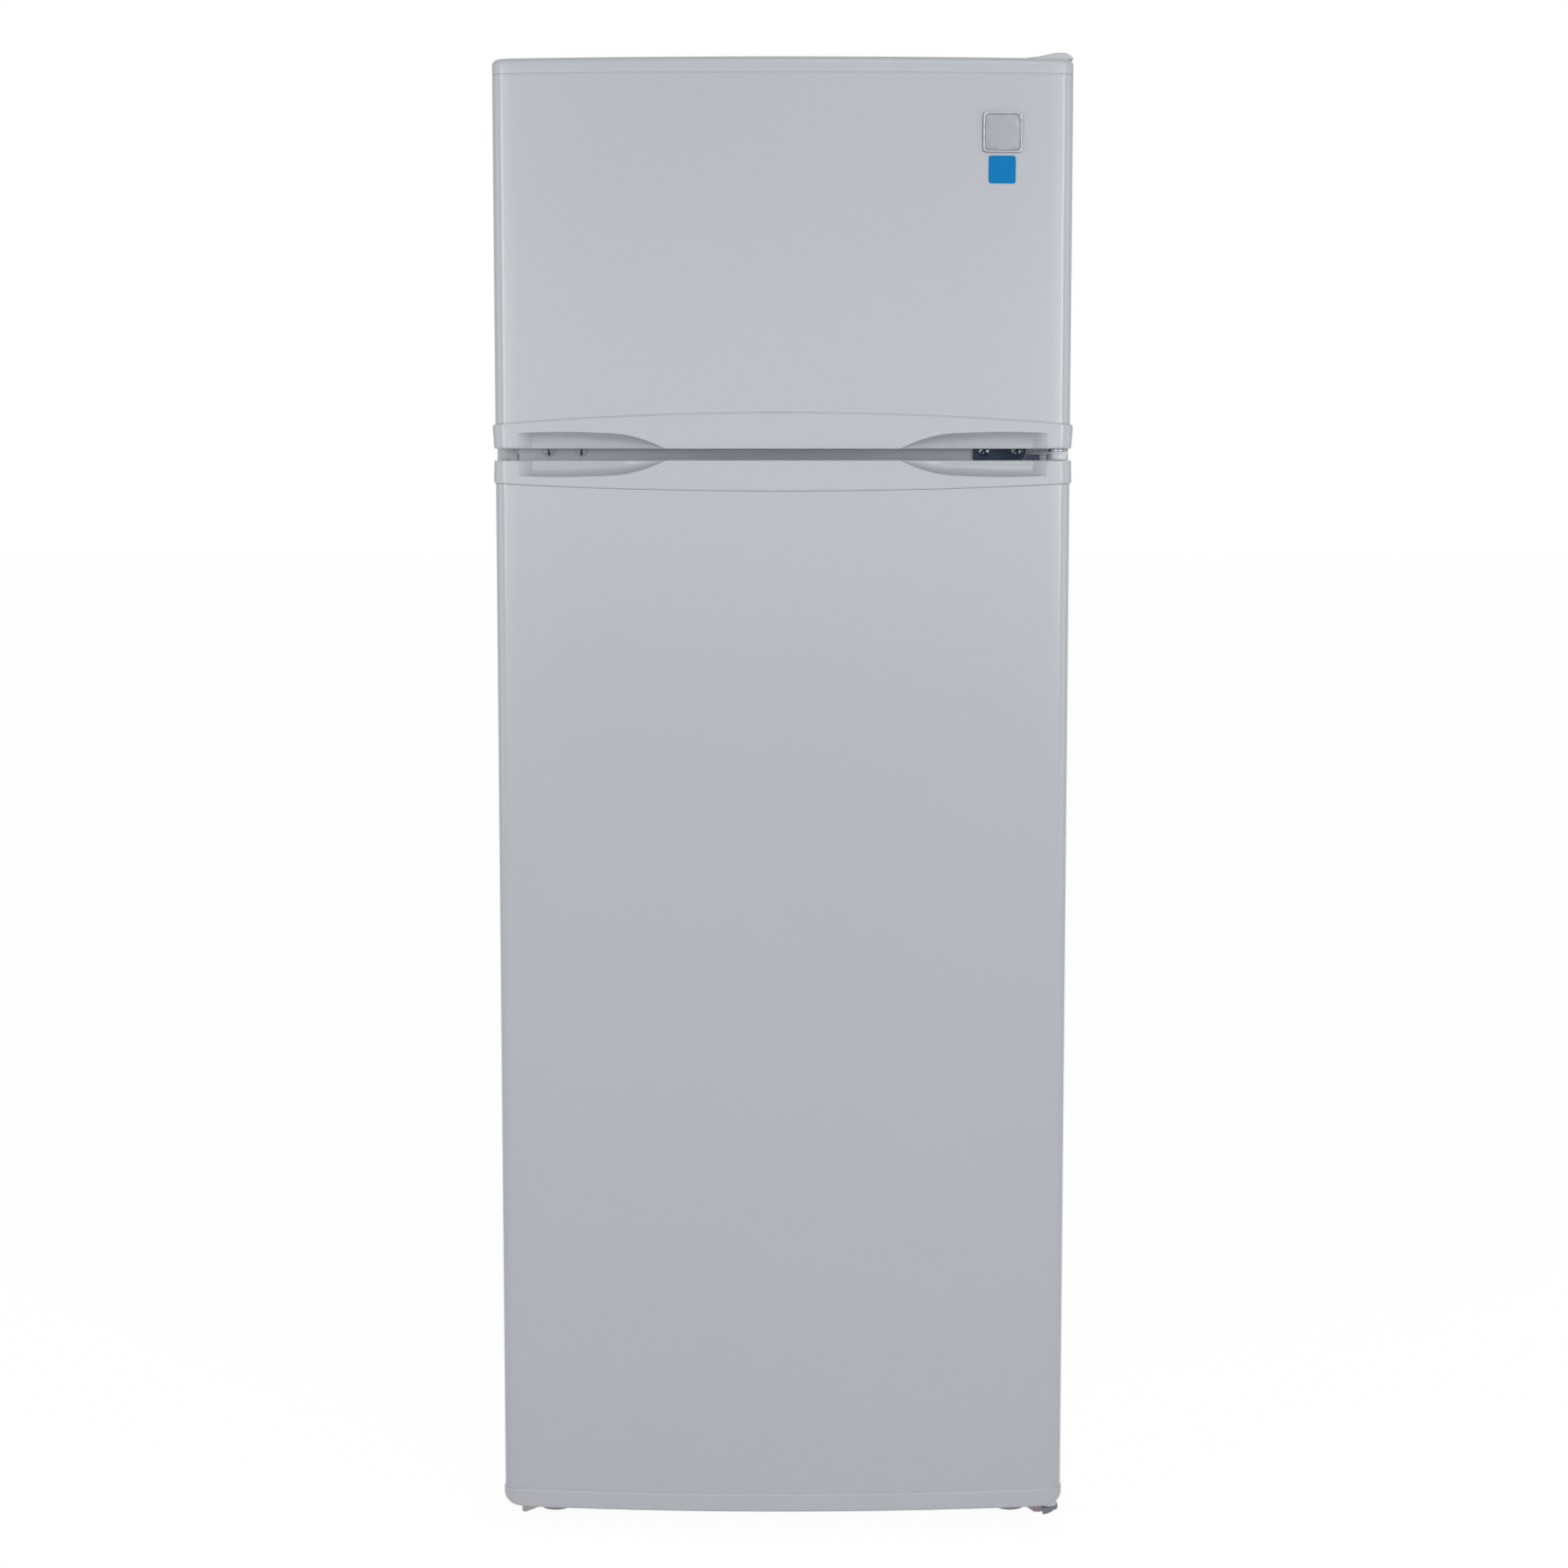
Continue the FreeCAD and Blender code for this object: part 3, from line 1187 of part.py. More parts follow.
def control_box():
    """Ceiling box with the lamp room, the dial's shaft hole and the door switch's hole."""
    low = f"({Z_FRESH_CEILING}-control_height)"
    front = f"({Y_LINER}+control_setback)"
    back = f"({front}+control_depth)"
    half = "(control_width/2)"
    body = new_body("ControlHousing")
    profile = [(front, Z_FRESH_CEILING), (front, low), (back, low)]
    profile += [(f"{back}+control_slope", Z_FRESH_CEILING)]
    pad(body, outline(body, "YZ_Plane", f"-{half}", profile), "control_width", name="Box")
    room = (f"(-{half}+lamp_room_side)", f"({front}+lamp_room_front)",
            "(-lamp_room_side)", f"({back}-control_slope)")
    drawing = outline(body, "XY_Plane", low, rectangle(*room), name="LampRoomOutline")
    pocket(body, drawing, "control_height-control_wall", reverse=True, name="LampRoom")
    dial_x = f"({half}/2)"
    dial_z = f"({low}+control_height*0.56)"
    hole = rod(dial_x, f"{front}-1", dial_z, "dial_shaft+pin_clearance", "shaft_length+2", "y",
               name="ShaftHole")
    plunger_x = f"(-{half}/2)"
    plunger_z = f"({Z_SPLIT}-fresh_top_cap-fresh_top_arch-dyke_end_inset-dyke_width/2)"
    tip = f"({Y_BACK}+dyke_rise+joint_clearance)"
    tail = f"({front}+plunger_seat)"
    switch = rod(plunger_x, f"{front}-1", plunger_z, "plunger_radius+pin_clearance",
                 "plunger_seat+3", "y", name="SwitchHole")
    keep("control_housing", removed(body, [hole, switch], "ControlDrilled"))

    x_low, y_low, x_high, y_high = room
    lens = block(f"{x_low}+joint_clearance", f"{y_low}+joint_clearance", low,
                 f"{x_high}-{x_low}-2*joint_clearance", f"{y_high}-{y_low}-2*joint_clearance",
                 "lens_gauge", "Lens")
    keep("lamp_lens", lens)
    bulb_z = f"({low}+control_height/2)"
    bulb_y = f"(({y_low}+{y_high})/2)"
    socket = rod(f"{x_high}-lamp_socket", bulb_y, bulb_z, "lamp_radius/2", "lamp_socket", "x",
                 "small_sides", "LampSocket")
    globe = rod(f"{x_high}-lamp_socket-lamp_length", bulb_y, bulb_z, "lamp_radius",
                "lamp_length", "x", "small_sides", "LampGlobe")
    keep("lamp_bulb", united([socket, globe], "Lamp"))

    face = f"({front}-joint_clearance)"
    knob = rod(dial_x, f"{face}-dial_depth", dial_z, "dial_radius", "dial_depth", "y",
               "round_sides", "Knob")
    notch = block(f"{dial_x}-notch_width/2", f"{face}-dial_depth-1", f"{dial_z}+dial_radius/2",
                  "notch_width", "notch_width", "dial_radius", "Pointer")
    stem = rod(dial_x, face, dial_z, "dial_shaft", "shaft_length", "y", name="DialShaft")
    keep("thermostat_dial", united([removed(knob, [notch], "Notched"), stem], "Dial"))
    plunger = rod(plunger_x, tip, plunger_z, "plunger_radius", f"{tail}-{tip}", "y",
                  name="Plunger")
    keep("door_switch_plunger", plunger)


# ---------------------------------------------------------------- refrigeration
def bent_path(points, bend):
    """Straight runs joined at each corner by two short chords of a round bend."""
    path = [points[0]]
    for before, corner, after in zip(points, points[1:], points[2:]):
        back = (before - corner).normalize()
        ahead = (after - corner).normalize()
        half_angle = back.getAngle(ahead) / 2
        reach = bend / math.tan(half_angle)
        middle = (back + ahead).normalize() * (bend / math.sin(half_angle) - bend)
        for place in (corner + back * reach, corner + middle, corner + ahead * reach):
            if (place - path[-1]).Length > 1e-6:
                path.append(place)
    if (points[-1] - path[-1]).Length > 1e-6:
        path.append(points[-1])
    return Part.makePolygon(path)


def tube(name, places, radius, bend):
    """A square-edged tube swept along a bent path of places given as expressions."""
    points = [Vector(*(val(text) for text in place)) for place in places]
    ahead = (points[1] - points[0]).normalize()
    side = ahead.cross(Vector(0, 1, 0) if abs(ahead.y) < 0.9 else Vector(1, 0, 0)).normalize()
    turn = [FreeCAD.Rotation(ahead, 45 + 90 * step).multVec(side) * val(radius)
            for step in range(5)]
    profile = Part.makePolygon([points[0] + spoke for spoke in turn])
    feature = doc.addObject("Part::Feature", name)
    feature.Shape = bent_path(points, val(bend)).makePipeShell([profile], True, False, 1)
    return feature


def condenser():
    """Serpentine tube with wires welded to it, held off the back by moulded spacers."""
    y = f"({Y_REAR}+coil_standoff)"
    half = "(coil_width/2)"
    passes = int(val("coil_passes"))
    places = []
    for number in range(passes):
        z = f"(coil_bottom+{number}*coil_pitch)"
        ends = [(f"-{half}", y, z), (half, y, z)]
        places += ends if number % 2 == 0 else ends[::-1]
    coil = tube("CondenserTube", places, "tube_radius", "coil_pitch/2")
    wires = []
    for number in range(int(val("coil_wire_count"))):
        x = f"(({number}-(coil_wire_count-1)/2)*coil_wire_pitch-coil_wire_width/2)"
        wires.append(block(x, f"{y}+tube_radius", "coil_bottom-wire_beyond",
                           "coil_wire_width", "coil_wire_width",
                           "(coil_passes-1)*coil_pitch+2*wire_beyond", "Wire"))
    keep("condenser_coil", grouped([coil] + wires, "Condenser"))
    spacers = []
    for level in (1, passes - 2):
        z = f"(coil_bottom+{level}*coil_pitch)"
        for side in (-1, 1):
            x = f"({side}*spacer_place*coil_wire_pitch-spacer_width/2)"
            foot = block(x, Y_REAR, f"{z}-spacer_height/2", "spacer_width", "spacer_length",
                         "spacer_height", "SpacerBlock")
            groove = block(f"{x}-1", f"{y}-tube_radius-0.1", f"{z}-tube_radius-0.1",
                           "spacer_width+2", "2*tube_radius+0.2", "2*tube_radius+0.2",
                           "SpacerGroove")
            spacers.append(removed(foot, [groove], "Spacer"))
    keep("condenser_spacers", grouped(spacers, "CondenserSpacers"))


def compressor():
    """Welded hermetic shell on a foot plate with its relay box; grommets and tray."""
    body = new_body("CompressorShell")
    turns = [15 * step + 7.5 for step in range(24)]
    corners = [(f"pump_radius*cos({turn})", f"pump_radius*pump_oval*sin({turn})")
               for turn in turns]
    drawing = outline(body, "XY_Plane", "plate_gauge", corners, name="Oval")
    pad(body, drawing, "pump_height-plate_gauge", name="Shell")
    levels = (val("plate_gauge"), val("pump_height"))

    def shell_end(edge):
        box = edge.BoundBox
        return box.ZLength < 0.01 and min(abs(box.ZMin - level) for level in levels) < 0.01
    bevel_edges(body, "pump_bevel", shell_end, "ShellEnds")
    plate = rectangle("-pump_plate_x", "-pump_plate_y", "pump_plate_x", "pump_plate_y")
    pad(body, outline(body, "XY_Plane", "0", plate, name="FootPlate"), "plate_gauge",
        name="FootPlate")
    for key, text in (("x", PUMP_X), ("y", PUMP_Y), ("z", PUMP_Z)):
        body.setExpression(f"Placement.Base.{key}", bound(text))
    relay = block(f"{PUMP_X}+pump_radius*cos(7.5)", f"{PUMP_Y}-relay_width/2",
                  f"{PUMP_Z}+pump_height/3", "relay_depth", "relay_width", "relay_height",
                  "Relay")
    keep("compressor", grouped([body, relay], "Compressor"))
    grommets = []
    for side_x in (-1, 1):
        for side_y in (-1, 1):
            x = f"{PUMP_X}+{side_x}*(pump_plate_x-1.4*grommet_radius)"
            y = f"{PUMP_Y}+{side_y}*(pump_plate_y-1.4*grommet_radius)"
            grommets.append(rod(x, y, f"{Z_FLOOR}+sheet_gauge", "grommet_radius",
                                "grommet_height", "z", "small_sides", "Grommet"))
    keep("compressor_grommets", grouped(grommets, "Grommets"))
    tray = new_body("DripTray")
    low = f"({PUMP_Z}+pump_height)"
    x = "tray_half_x"
    y = "tray_half_y"
    plan = rectangle(f"{PUMP_X}-{x}", f"{PUMP_Y}-{y}", f"{PUMP_X}+{x}", f"{PUMP_Y}+{y}")
    pad(tray, outline(tray, "XY_Plane", low, plan), "tray_height", name="Blank")
    x = "(tray_half_x-bin_wall)"
    y = "(tray_half_y-bin_wall)"
    plan = rectangle(f"{PUMP_X}-{x}", f"{PUMP_Y}-{y}", f"{PUMP_X}+{x}", f"{PUMP_Y}+{y}")
    drawing = outline(tray, "XY_Plane", f"{low}+bin_wall", plan, name="Inside")
    pocket(tray, drawing, "tray_height", reverse=True, name="Hollow")
    keep("drip_tray", tray)


def pipework():
    """Tubes from the compressor round the condenser and the dryer, and back again."""
    coil_y = f"({Y_REAR}+coil_standoff)"
    half = "(coil_width/2)"
    beside = f"({half}+tube_loop)"
    outlet = f"({PUMP_Z}+pump_height*0.4)"
    flank = f"({PUMP_X}-pump_radius*cos(7.5))"
    out = [(flank, PUMP_Y, outlet), (f"-{beside}", PUMP_Y, outlet)]
    out += [(f"-{beside}", coil_y, outlet), (f"-{beside}", coil_y, "coil_bottom")]
    out += [(f"-{half}", coil_y, "coil_bottom")]
    coil_top = "(coil_bottom+(coil_passes-1)*coil_pitch)"
    dryer_y = f"({Y_REAR}-dryer_setback)"
    level = f"({Z_CABIN}-dryer_drop)"
    down = [(half, coil_y, coil_top), (beside, coil_y, coil_top), (beside, coil_y, level)]
    down += [(beside, dryer_y, level), (beside, dryer_y, f"{level}-dryer_drop")]
    shell = f"{PUMP_Y}+pump_radius*pump_oval*cos(7.5)"
    entry = f"({Z_CABIN}+dryer_drop)"
    back = [(PUMP_X, shell, outlet), (PUMP_X, coil_y, outlet), (PUMP_X, coil_y, entry)]
    back += [(PUMP_X, Y_REAR, entry)]
    tubes = [tube(name, places, "tube_radius", "tube_bend")
             for name, places in (("Discharge", out), ("Outlet", down), ("Suction", back))]
    keep("refrigerant_tubes", grouped(tubes, "Pipework"))
    dryer = rod(beside, dryer_y, f"{level}-dryer_drop-dryer_length", "dryer_radius",
                "dryer_length", "z", "small_sides", "Dryer")
    keep("filter_dryer", dryer)
    plate = block("-evaporator_width/2", f"{Y_FRESH_BACK}-evaporator_gauge",
                  f"{Z_FRESH_CEILING}-evaporator_drop-evaporator_height", "evaporator_width",
                  "evaporator_gauge", "evaporator_height", "Evaporator")
    keep("evaporator_plate", plate)
    gland = rod("-gland_x", Y_REAR, f"{Z_CABIN}+dryer_drop", "gland_radius", "gland_length",
                "y", "small_sides", "Gland")
    bore = rod("-gland_x", f"{Y_REAR}+gland_length/3", f"{Z_CABIN}+dryer_drop",
               "gland_radius/2", "gland_length", "y", "small_sides", "GlandBore")
    keep("cord_gland", removed(gland, [bore], "GlandBored"))


def badge():
    """Bare square plate on the freezer door, turned to lie flat against the bow."""
    body = new_body("Badge")
    half = "(badge_size/2)"
    plan = rectangle(f"-{half}", f"-{half}", half, half)
    pad(body, outline(body, "XZ_Plane", "0", plan), "badge_height", name="Plate")
    body.Placement = FreeCAD.Placement(Vector(), FreeCAD.Rotation(Vector(0, 0, 1), 1))
    body.setExpression("Placement.Rotation.Angle", bound(f"asin({X_BADGE}/bow_radius)"))
    level = f"({Z_DOOR_TOP}-badge_drop)"
    for key, text in (("x", X_BADGE), ("y", bow_at(X_BADGE)), ("z", level)):
        body.setExpression(f"Placement.Base.{key}", bound(text))
    keep("badge_plate", body)


# ---------------------------------------------------------------- the whole object
def doors():
    low = f"({Z_FREEZER}+freezer_low_cap)"
    high = f"({Z_DOOR_TOP}-freezer_top_cap)"
    door_skin("freezer_door_skin", low, high, low_arch="freezer_low_arch")
    freezer_caps()
    seats = [f"({Z_FREEZER}+freezer_seat_low)", f"({Z_FREEZER}+freezer_seat_high)"]
    door_liner("freezer_door_liner", f"({low}+freezer_low_arch)",
               f"({high}-cap_spigot/2)", seats)
    gasket("freezer_door_gasket", Z_FREEZER, Z_DOOR_TOP)
    door_foam("freezer_door_foam", f"({low}+freezer_low_arch)", f"({high}-cap_spigot/2)")
    door_bin("freezer_lower_bin", seats[0], "freezer_bin_height")
    door_bin("freezer_upper_bin", seats[1], "freezer_bin_height")

    low = f"({Z_FRESH}+fresh_low_cap)"
    high = f"({Z_SPLIT}-fresh_top_cap)"
    door_skin("fresh_door_skin", low, high, high_arch="(-fresh_top_arch)")
    fresh_caps()
    seats = ["bottle_seat", "middle_seat", "upper_seat"]
    door_liner("fresh_door_liner", f"({low}+cap_spigot/2)", f"({high}-fresh_top_arch)", seats)
    gasket("fresh_door_gasket", Z_FRESH, Z_SPLIT)
    door_foam("fresh_door_foam", f"({low}+cap_spigot/2)", f"({high}-fresh_top_arch)")
    door_bin("bottle_bin", seats[0], "bottle_bin_height")
    door_bin("middle_door_bin", seats[1], "fresh_bin_height")
    door_bin("upper_door_bin", seats[2], "fresh_bin_height")


def build():
    cabinet_shell()
    base_pan()
    back_panel()
    liners_and_foam()
    mullion_rail()
    top_hinge()
    middle_hinge()
    bottom_brackets()
    hinge_screws()
    levelling_foot("left_levelling_foot", "-")
    levelling_foot("right_levelling_foot", "")
    rear_rollers()
    shelves()
    freezer_wire_shelf()
    crisper_drawer()
    control_box()
    condenser()
    compressor()
    pipework()
    doors()
    badge()


def write_parts():
    doc.recompute()
    failed = [item.Label for item in doc.Objects
              if "Invalid" in item.State or "Error" in item.State]
    if failed:
        raise RuntimeError(f"did not recompute: {failed}")
    os.makedirs("parts", exist_ok=True)
    for node, feature in sorted(pieces.items()):
        shape = feature.Shape
        if shape.isNull() or not shape.isValid() or shape.Volume <= 0:
            raise RuntimeError(f"{node} has no sound shape")
        shape.exportStep(f"parts/{node}.step")
        print(f"{node:26s} {len(shape.Solids):3d} solids {shape.Volume / 1000:10.1f} cm3")


build()
write_parts()
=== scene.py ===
# %% [markdown]
# # A top freezer refrigerator, dressed
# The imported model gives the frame: every node sits where the object has it, in metres.
# This lesson gives those nodes their finishes, and makes the pieces whose surface needs
# more care than a plain solid has: the doors' skins, their moulded end caps with the hand
# grips, the hinge hardware, the wire condenser and the small turned parts.

# %% Load the frame
import bpy
import bmesh
import json
import math
from mathutils import Matrix, Vector


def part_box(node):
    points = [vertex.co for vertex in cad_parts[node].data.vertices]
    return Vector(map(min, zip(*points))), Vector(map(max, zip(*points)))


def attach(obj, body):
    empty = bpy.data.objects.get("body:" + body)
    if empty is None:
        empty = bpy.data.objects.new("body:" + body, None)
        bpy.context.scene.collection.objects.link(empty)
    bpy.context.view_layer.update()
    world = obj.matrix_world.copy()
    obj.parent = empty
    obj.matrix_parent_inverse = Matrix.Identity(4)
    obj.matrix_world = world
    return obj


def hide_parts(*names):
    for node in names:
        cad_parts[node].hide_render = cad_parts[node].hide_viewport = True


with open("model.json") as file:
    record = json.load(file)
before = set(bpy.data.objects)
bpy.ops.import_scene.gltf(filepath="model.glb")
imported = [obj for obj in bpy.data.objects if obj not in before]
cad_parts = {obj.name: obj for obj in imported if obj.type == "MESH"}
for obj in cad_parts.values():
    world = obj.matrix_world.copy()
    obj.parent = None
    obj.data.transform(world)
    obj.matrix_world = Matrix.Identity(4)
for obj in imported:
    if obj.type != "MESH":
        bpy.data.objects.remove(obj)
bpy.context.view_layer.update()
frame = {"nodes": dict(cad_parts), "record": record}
nodes = frame["nodes"]
scene = bpy.context.scene

# %% [markdown]
# ## The camera and the room
# The object is seen straight from the front, from about three metres, through a long lens
# that looks slightly down. A long lens keeps the sides nearly parallel. The camera comes
# first, because every later choice of detail depends on what it shows.

# %% Camera
eye = bpy.data.cameras.new("eye")
eye.lens = 70.8
eye.sensor_width = 36.0
camera = bpy.data.objects.new("camera", eye)
camera.location = (0.0012, -3.195, 1.054)
camera.rotation_euler = (math.radians(90.0 - 6.02), 0.0, 0.0)
scene.collection.objects.link(camera)
scene.camera = camera
scene.view_settings.view_transform = "Standard"
print("camera at", tuple(round(v, 3) for v in camera.location))

# %% [markdown]
# The room is white. Its floor is a plain sheet that looks white to the camera and keeps a
# faint shadow. Soft lamps stand in front, above and at both sides, as in a product
# studio: the side lamps draw the thin bright line down each rounded vertical edge of the
# doors, and the fills beside the doors brighten their flanks.

# %% Floor, world and lamps
def new_material(name):
    """An empty node material with its output and one Principled shader."""
    material = bpy.data.materials.new(name)
    material.use_nodes = True
    tree = material.node_tree
    tree.nodes.clear()
    out = tree.nodes.new("ShaderNodeOutputMaterial")
    shader = tree.nodes.new("ShaderNodeBsdfPrincipled")
    tree.links.new(shader.outputs["BSDF"], out.inputs["Surface"])
    return material, tree, shader, out


def srgb(red, green, blue):
    """A colour given as screen numbers, as the shader wants it."""
    def part(value):
        value = value / 255.0
        return value / 12.92 if value <= 0.04045 else ((value + 0.055) / 1.055) ** 2.4
    return (part(red), part(green), part(blue), 1.0)


def maths(tree, operation, first, second=None, clamp=False):
    """The output of a Math node whose inputs are sockets or plain numbers."""
    made = tree.nodes.new("ShaderNodeMath")
    made.operation = operation
    made.use_clamp = clamp
    for number, value in enumerate((first, second)):
        if isinstance(value, float):
            made.inputs[number].default_value = value
        elif value is not None:
            tree.links.new(value, made.inputs[number])
    return made.outputs[0]


def seen_rays(tree, path):
    """One for rays that show the room directly, in metal or through glass."""
    total = path.outputs["Is Camera Ray"]
    for kind in ("Is Glossy Ray", "Is Transmission Ray"):
        total = maths(tree, "ADD", total, path.outputs[kind], clamp=True)
    return total


def floor_material():
    material, tree, shader, out = new_material("studio_floor")
    shader.inputs["Base Color"].default_value = srgb(236, 236, 237)
    shader.inputs["Roughness"].default_value = 0.9
    shader.inputs["Specular IOR Level"].default_value = 0.1
    glow = tree.nodes.new("ShaderNodeEmission")
    glow.inputs["Color"].default_value = (1.0, 1.0, 1.0, 1.0)
    glow.inputs["Strength"].default_value = 1.06
    path = tree.nodes.new("ShaderNodeLightPath")
    mix = tree.nodes.new("ShaderNodeMixShader")
    tree.links.new(maths(tree, "MULTIPLY", seen_rays(tree, path), 0.9), mix.inputs["Fac"])
    tree.links.new(shader.outputs["BSDF"], mix.inputs[1])
    tree.links.new(glow.outputs[0], mix.inputs[2])
    tree.links.new(mix.outputs[0], out.inputs["Surface"])
    return material


floor_mesh = bpy.data.meshes.new("floor")
reach = 30.0
floor_mesh.from_pydata([(-reach, -reach, 0), (reach, -reach, 0), (reach, reach, 0),
                        (-reach, reach, 0)], [], [(0, 1, 2, 3)])
floor = bpy.data.objects.new("floor", floor_mesh)
scene.collection.objects.link(floor)
floor_mesh.materials.append(floor_material())

world = bpy.data.worlds.new("studio")
scene.world = world
world.use_nodes = True
sky = world.node_tree
sky.nodes.clear()
sky_out = sky.nodes.new("ShaderNodeOutputWorld")
sky_path = sky.nodes.new("ShaderNodeLightPath")
sky_mix = sky.nodes.new("ShaderNodeMixShader")
sky.links.new(seen_rays(sky, sky_path), sky_mix.inputs["Fac"])
for number, strength in ((1, 0.3), (2, 1.0)):
    white = sky.nodes.new("ShaderNodeBackground")
    white.inputs["Color"].default_value = (1.0, 1.0, 1.0, 1.0)
    white.inputs["Strength"].default_value = strength
    sky.links.new(white.outputs[0], sky_mix.inputs[number])
sky.links.new(sky_mix.outputs[0], sky_out.inputs["Surface"])


def lamp(name, place, aim, width, height, power):
    """A rectangular soft lamp that looks at a point."""
    data = bpy.data.lights.new(name, "AREA")
    data.shape = "RECTANGLE"
    data.size = width
    data.size_y = height
    data.energy = power
    made = bpy.data.objects.new(name, data)
    made.location = place
    turn = (Vector(aim) - Vector(place)).to_track_quat("-Z", "Y")
    made.rotation_euler = turn.to_euler()
    scene.collection.objects.link(made)
    return made


lamp("front_lamp", (0.2, -4.2, 1.15), (0.0, -0.28, 1.1), 5.0, 0.7, 16.0)
lamp("key_lamp", (0.7, -3.2, 3.3), (0.0, -0.2, 1.1), 2.2, 1.4, 21.5)
lamp("left_lamp", (-1.72, -2.88, 1.4), (-0.27, -0.25, 1.2), 0.26, 1.2, 15.5)
lamp("right_lamp", (1.72, -2.88, 1.4), (0.27, -0.25, 1.2), 0.26, 1.2, 15.5)
lamp("left_fill", (-3.0, -0.95, 1.1), (-0.25, -0.25, 1.0), 1.6, 1.6, 11.0)
lamp("right_fill", (3.0, -0.95, 1.1), (0.25, -0.25, 1.0), 1.6, 1.6, 11.0)

# %% [markdown]
# ## Effects that several finishes share
# A finish is more than one colour. Painted sheet has a faint orange peel, moulded plastic
# a fine grain, and everything gathers a little dust low down and tone differences over
# its width. Each effect is a node group with named inputs, so a finish places it with
# its own values.

# %% Shader groups
def new_group(name, inputs, outputs):
    """A shader group with float inputs (name, value) and (kind, name) outputs."""
    group = bpy.data.node_groups.new(name, "ShaderNodeTree")
    for label, value in inputs:
        kind = "NodeSocketColor" if isinstance(value, tuple) else "NodeSocketFloat"
        socket = group.interface.new_socket(name=label, in_out="INPUT", socket_type=kind)
        socket.default_value = value
    for kind, label in outputs:
        group.interface.new_socket(name=label, in_out="OUTPUT", socket_type=kind)
    enter = group.nodes.new("NodeGroupInput")
    leave = group.nodes.new("NodeGroupOutput")
    return group, enter, leave


def make_grain_group():
    """Two sizes of noise: a height for the Bump node and a mask for roughness."""
    group, enter, leave = new_group("surface_grain", [("Fine Scale", 900.0),
                                                      ("Wave Scale", 60.0),
                                                      ("Wave Share", 0.3)],
                                    [("NodeSocketFloat", "Height"),
                                     ("NodeSocketFloat", "Mask")])
    place = group.nodes.new("ShaderNodeTexCoord")
    fine = group.nodes.new("ShaderNodeTexNoise")
    fine.inputs["Detail"].default_value = 2.0
    wave = group.nodes.new("ShaderNodeTexNoise")
    wave.inputs["Detail"].default_value = 1.0
    mix = group.nodes.new("ShaderNodeMix")
    mix.data_type = "FLOAT"
    link = group.links.new
    link(place.outputs["Object"], fine.inputs["Vector"])
    link(place.outputs["Object"], wave.inputs["Vector"])
    link(enter.outputs["Fine Scale"], fine.inputs["Scale"])
    link(enter.outputs["Wave Scale"], wave.inputs["Scale"])
    link(enter.outputs["Wave Share"], mix.inputs["Factor"])
    link(fine.outputs["Fac"], mix.inputs["A"])
    link(wave.outputs["Fac"], mix.inputs["B"])
    link(mix.outputs["Result"], leave.inputs["Height"])
    link(wave.outputs["Fac"], leave.inputs["Mask"])
    return group


def make_tone_group():
    """Slow changes of tone, and a film of dust that thickens towards the floor."""
    group, enter, leave = new_group("tone_and_dust",
                                    [("Color", (0.8, 0.8, 0.8, 1.0)),
                                     ("Tone", 0.03), ("Dust", 0.12), ("Dust Height", 0.35)],
                                    [("NodeSocketColor", "Color"),
                                     ("NodeSocketFloat", "Dust Mask")])
    link = group.links.new
    place = group.nodes.new("ShaderNodeTexCoord")
    cloud = group.nodes.new("ShaderNodeTexNoise")
    cloud.inputs["Scale"].default_value = 3.5
    cloud.inputs["Detail"].default_value = 3.0
    link(place.outputs["Object"], cloud.inputs["Vector"])
    swing = group.nodes.new("ShaderNodeMapRange")
    swing.inputs["From Min"].default_value = 0.3
    swing.inputs["From Max"].default_value = 0.7
    link(cloud.outputs["Fac"], swing.inputs["Value"])
    link(maths(group, "SUBTRACT", 1.0, enter.outputs["Tone"]), swing.inputs["To Min"])
    swing.inputs["To Max"].default_value = 1.0
    tint = group.nodes.new("ShaderNodeVectorMath")
    tint.operation = "SCALE"
    link(enter.outputs["Color"], tint.inputs[0])
    link(swing.outputs["Result"], tint.inputs["Scale"])
    split = group.nodes.new("ShaderNodeSeparateXYZ")
    link(place.outputs["Object"], split.inputs[0])
    fall = group.nodes.new("ShaderNodeMapRange")
    fall.inputs["From Min"].default_value = 0.0
    fall.inputs["To Min"].default_value = 1.0
    fall.inputs["To Max"].default_value = 0.0
    link(split.outputs["Z"], fall.inputs["Value"])
    link(enter.outputs["Dust Height"], fall.inputs["From Max"])
    speck = group.nodes.new("ShaderNodeTexNoise")
    speck.inputs["Scale"].default_value = 26.0
    speck.inputs["Detail"].default_value = 5.0
    link(place.outputs["Object"], speck.inputs["Vector"])
    film = maths(group, "MULTIPLY", fall.outputs["Result"], speck.outputs["Fac"])
    amount = maths(group, "MULTIPLY", film, enter.outputs["Dust"])
    mix = group.nodes.new("ShaderNodeMix")
    mix.data_type = "RGBA"
    mix.inputs["B"].default_value = srgb(150, 144, 136)
    link(amount, mix.inputs["Factor"])
    link(tint.outputs["Vector"], mix.inputs["A"])
    link(mix.outputs["Result"], leave.inputs["Color"])
    link(amount, leave.inputs["Dust Mask"])
    return group


grain_group = make_grain_group()
tone_group = make_tone_group()
print("groups", grain_group.name, tone_group.name)
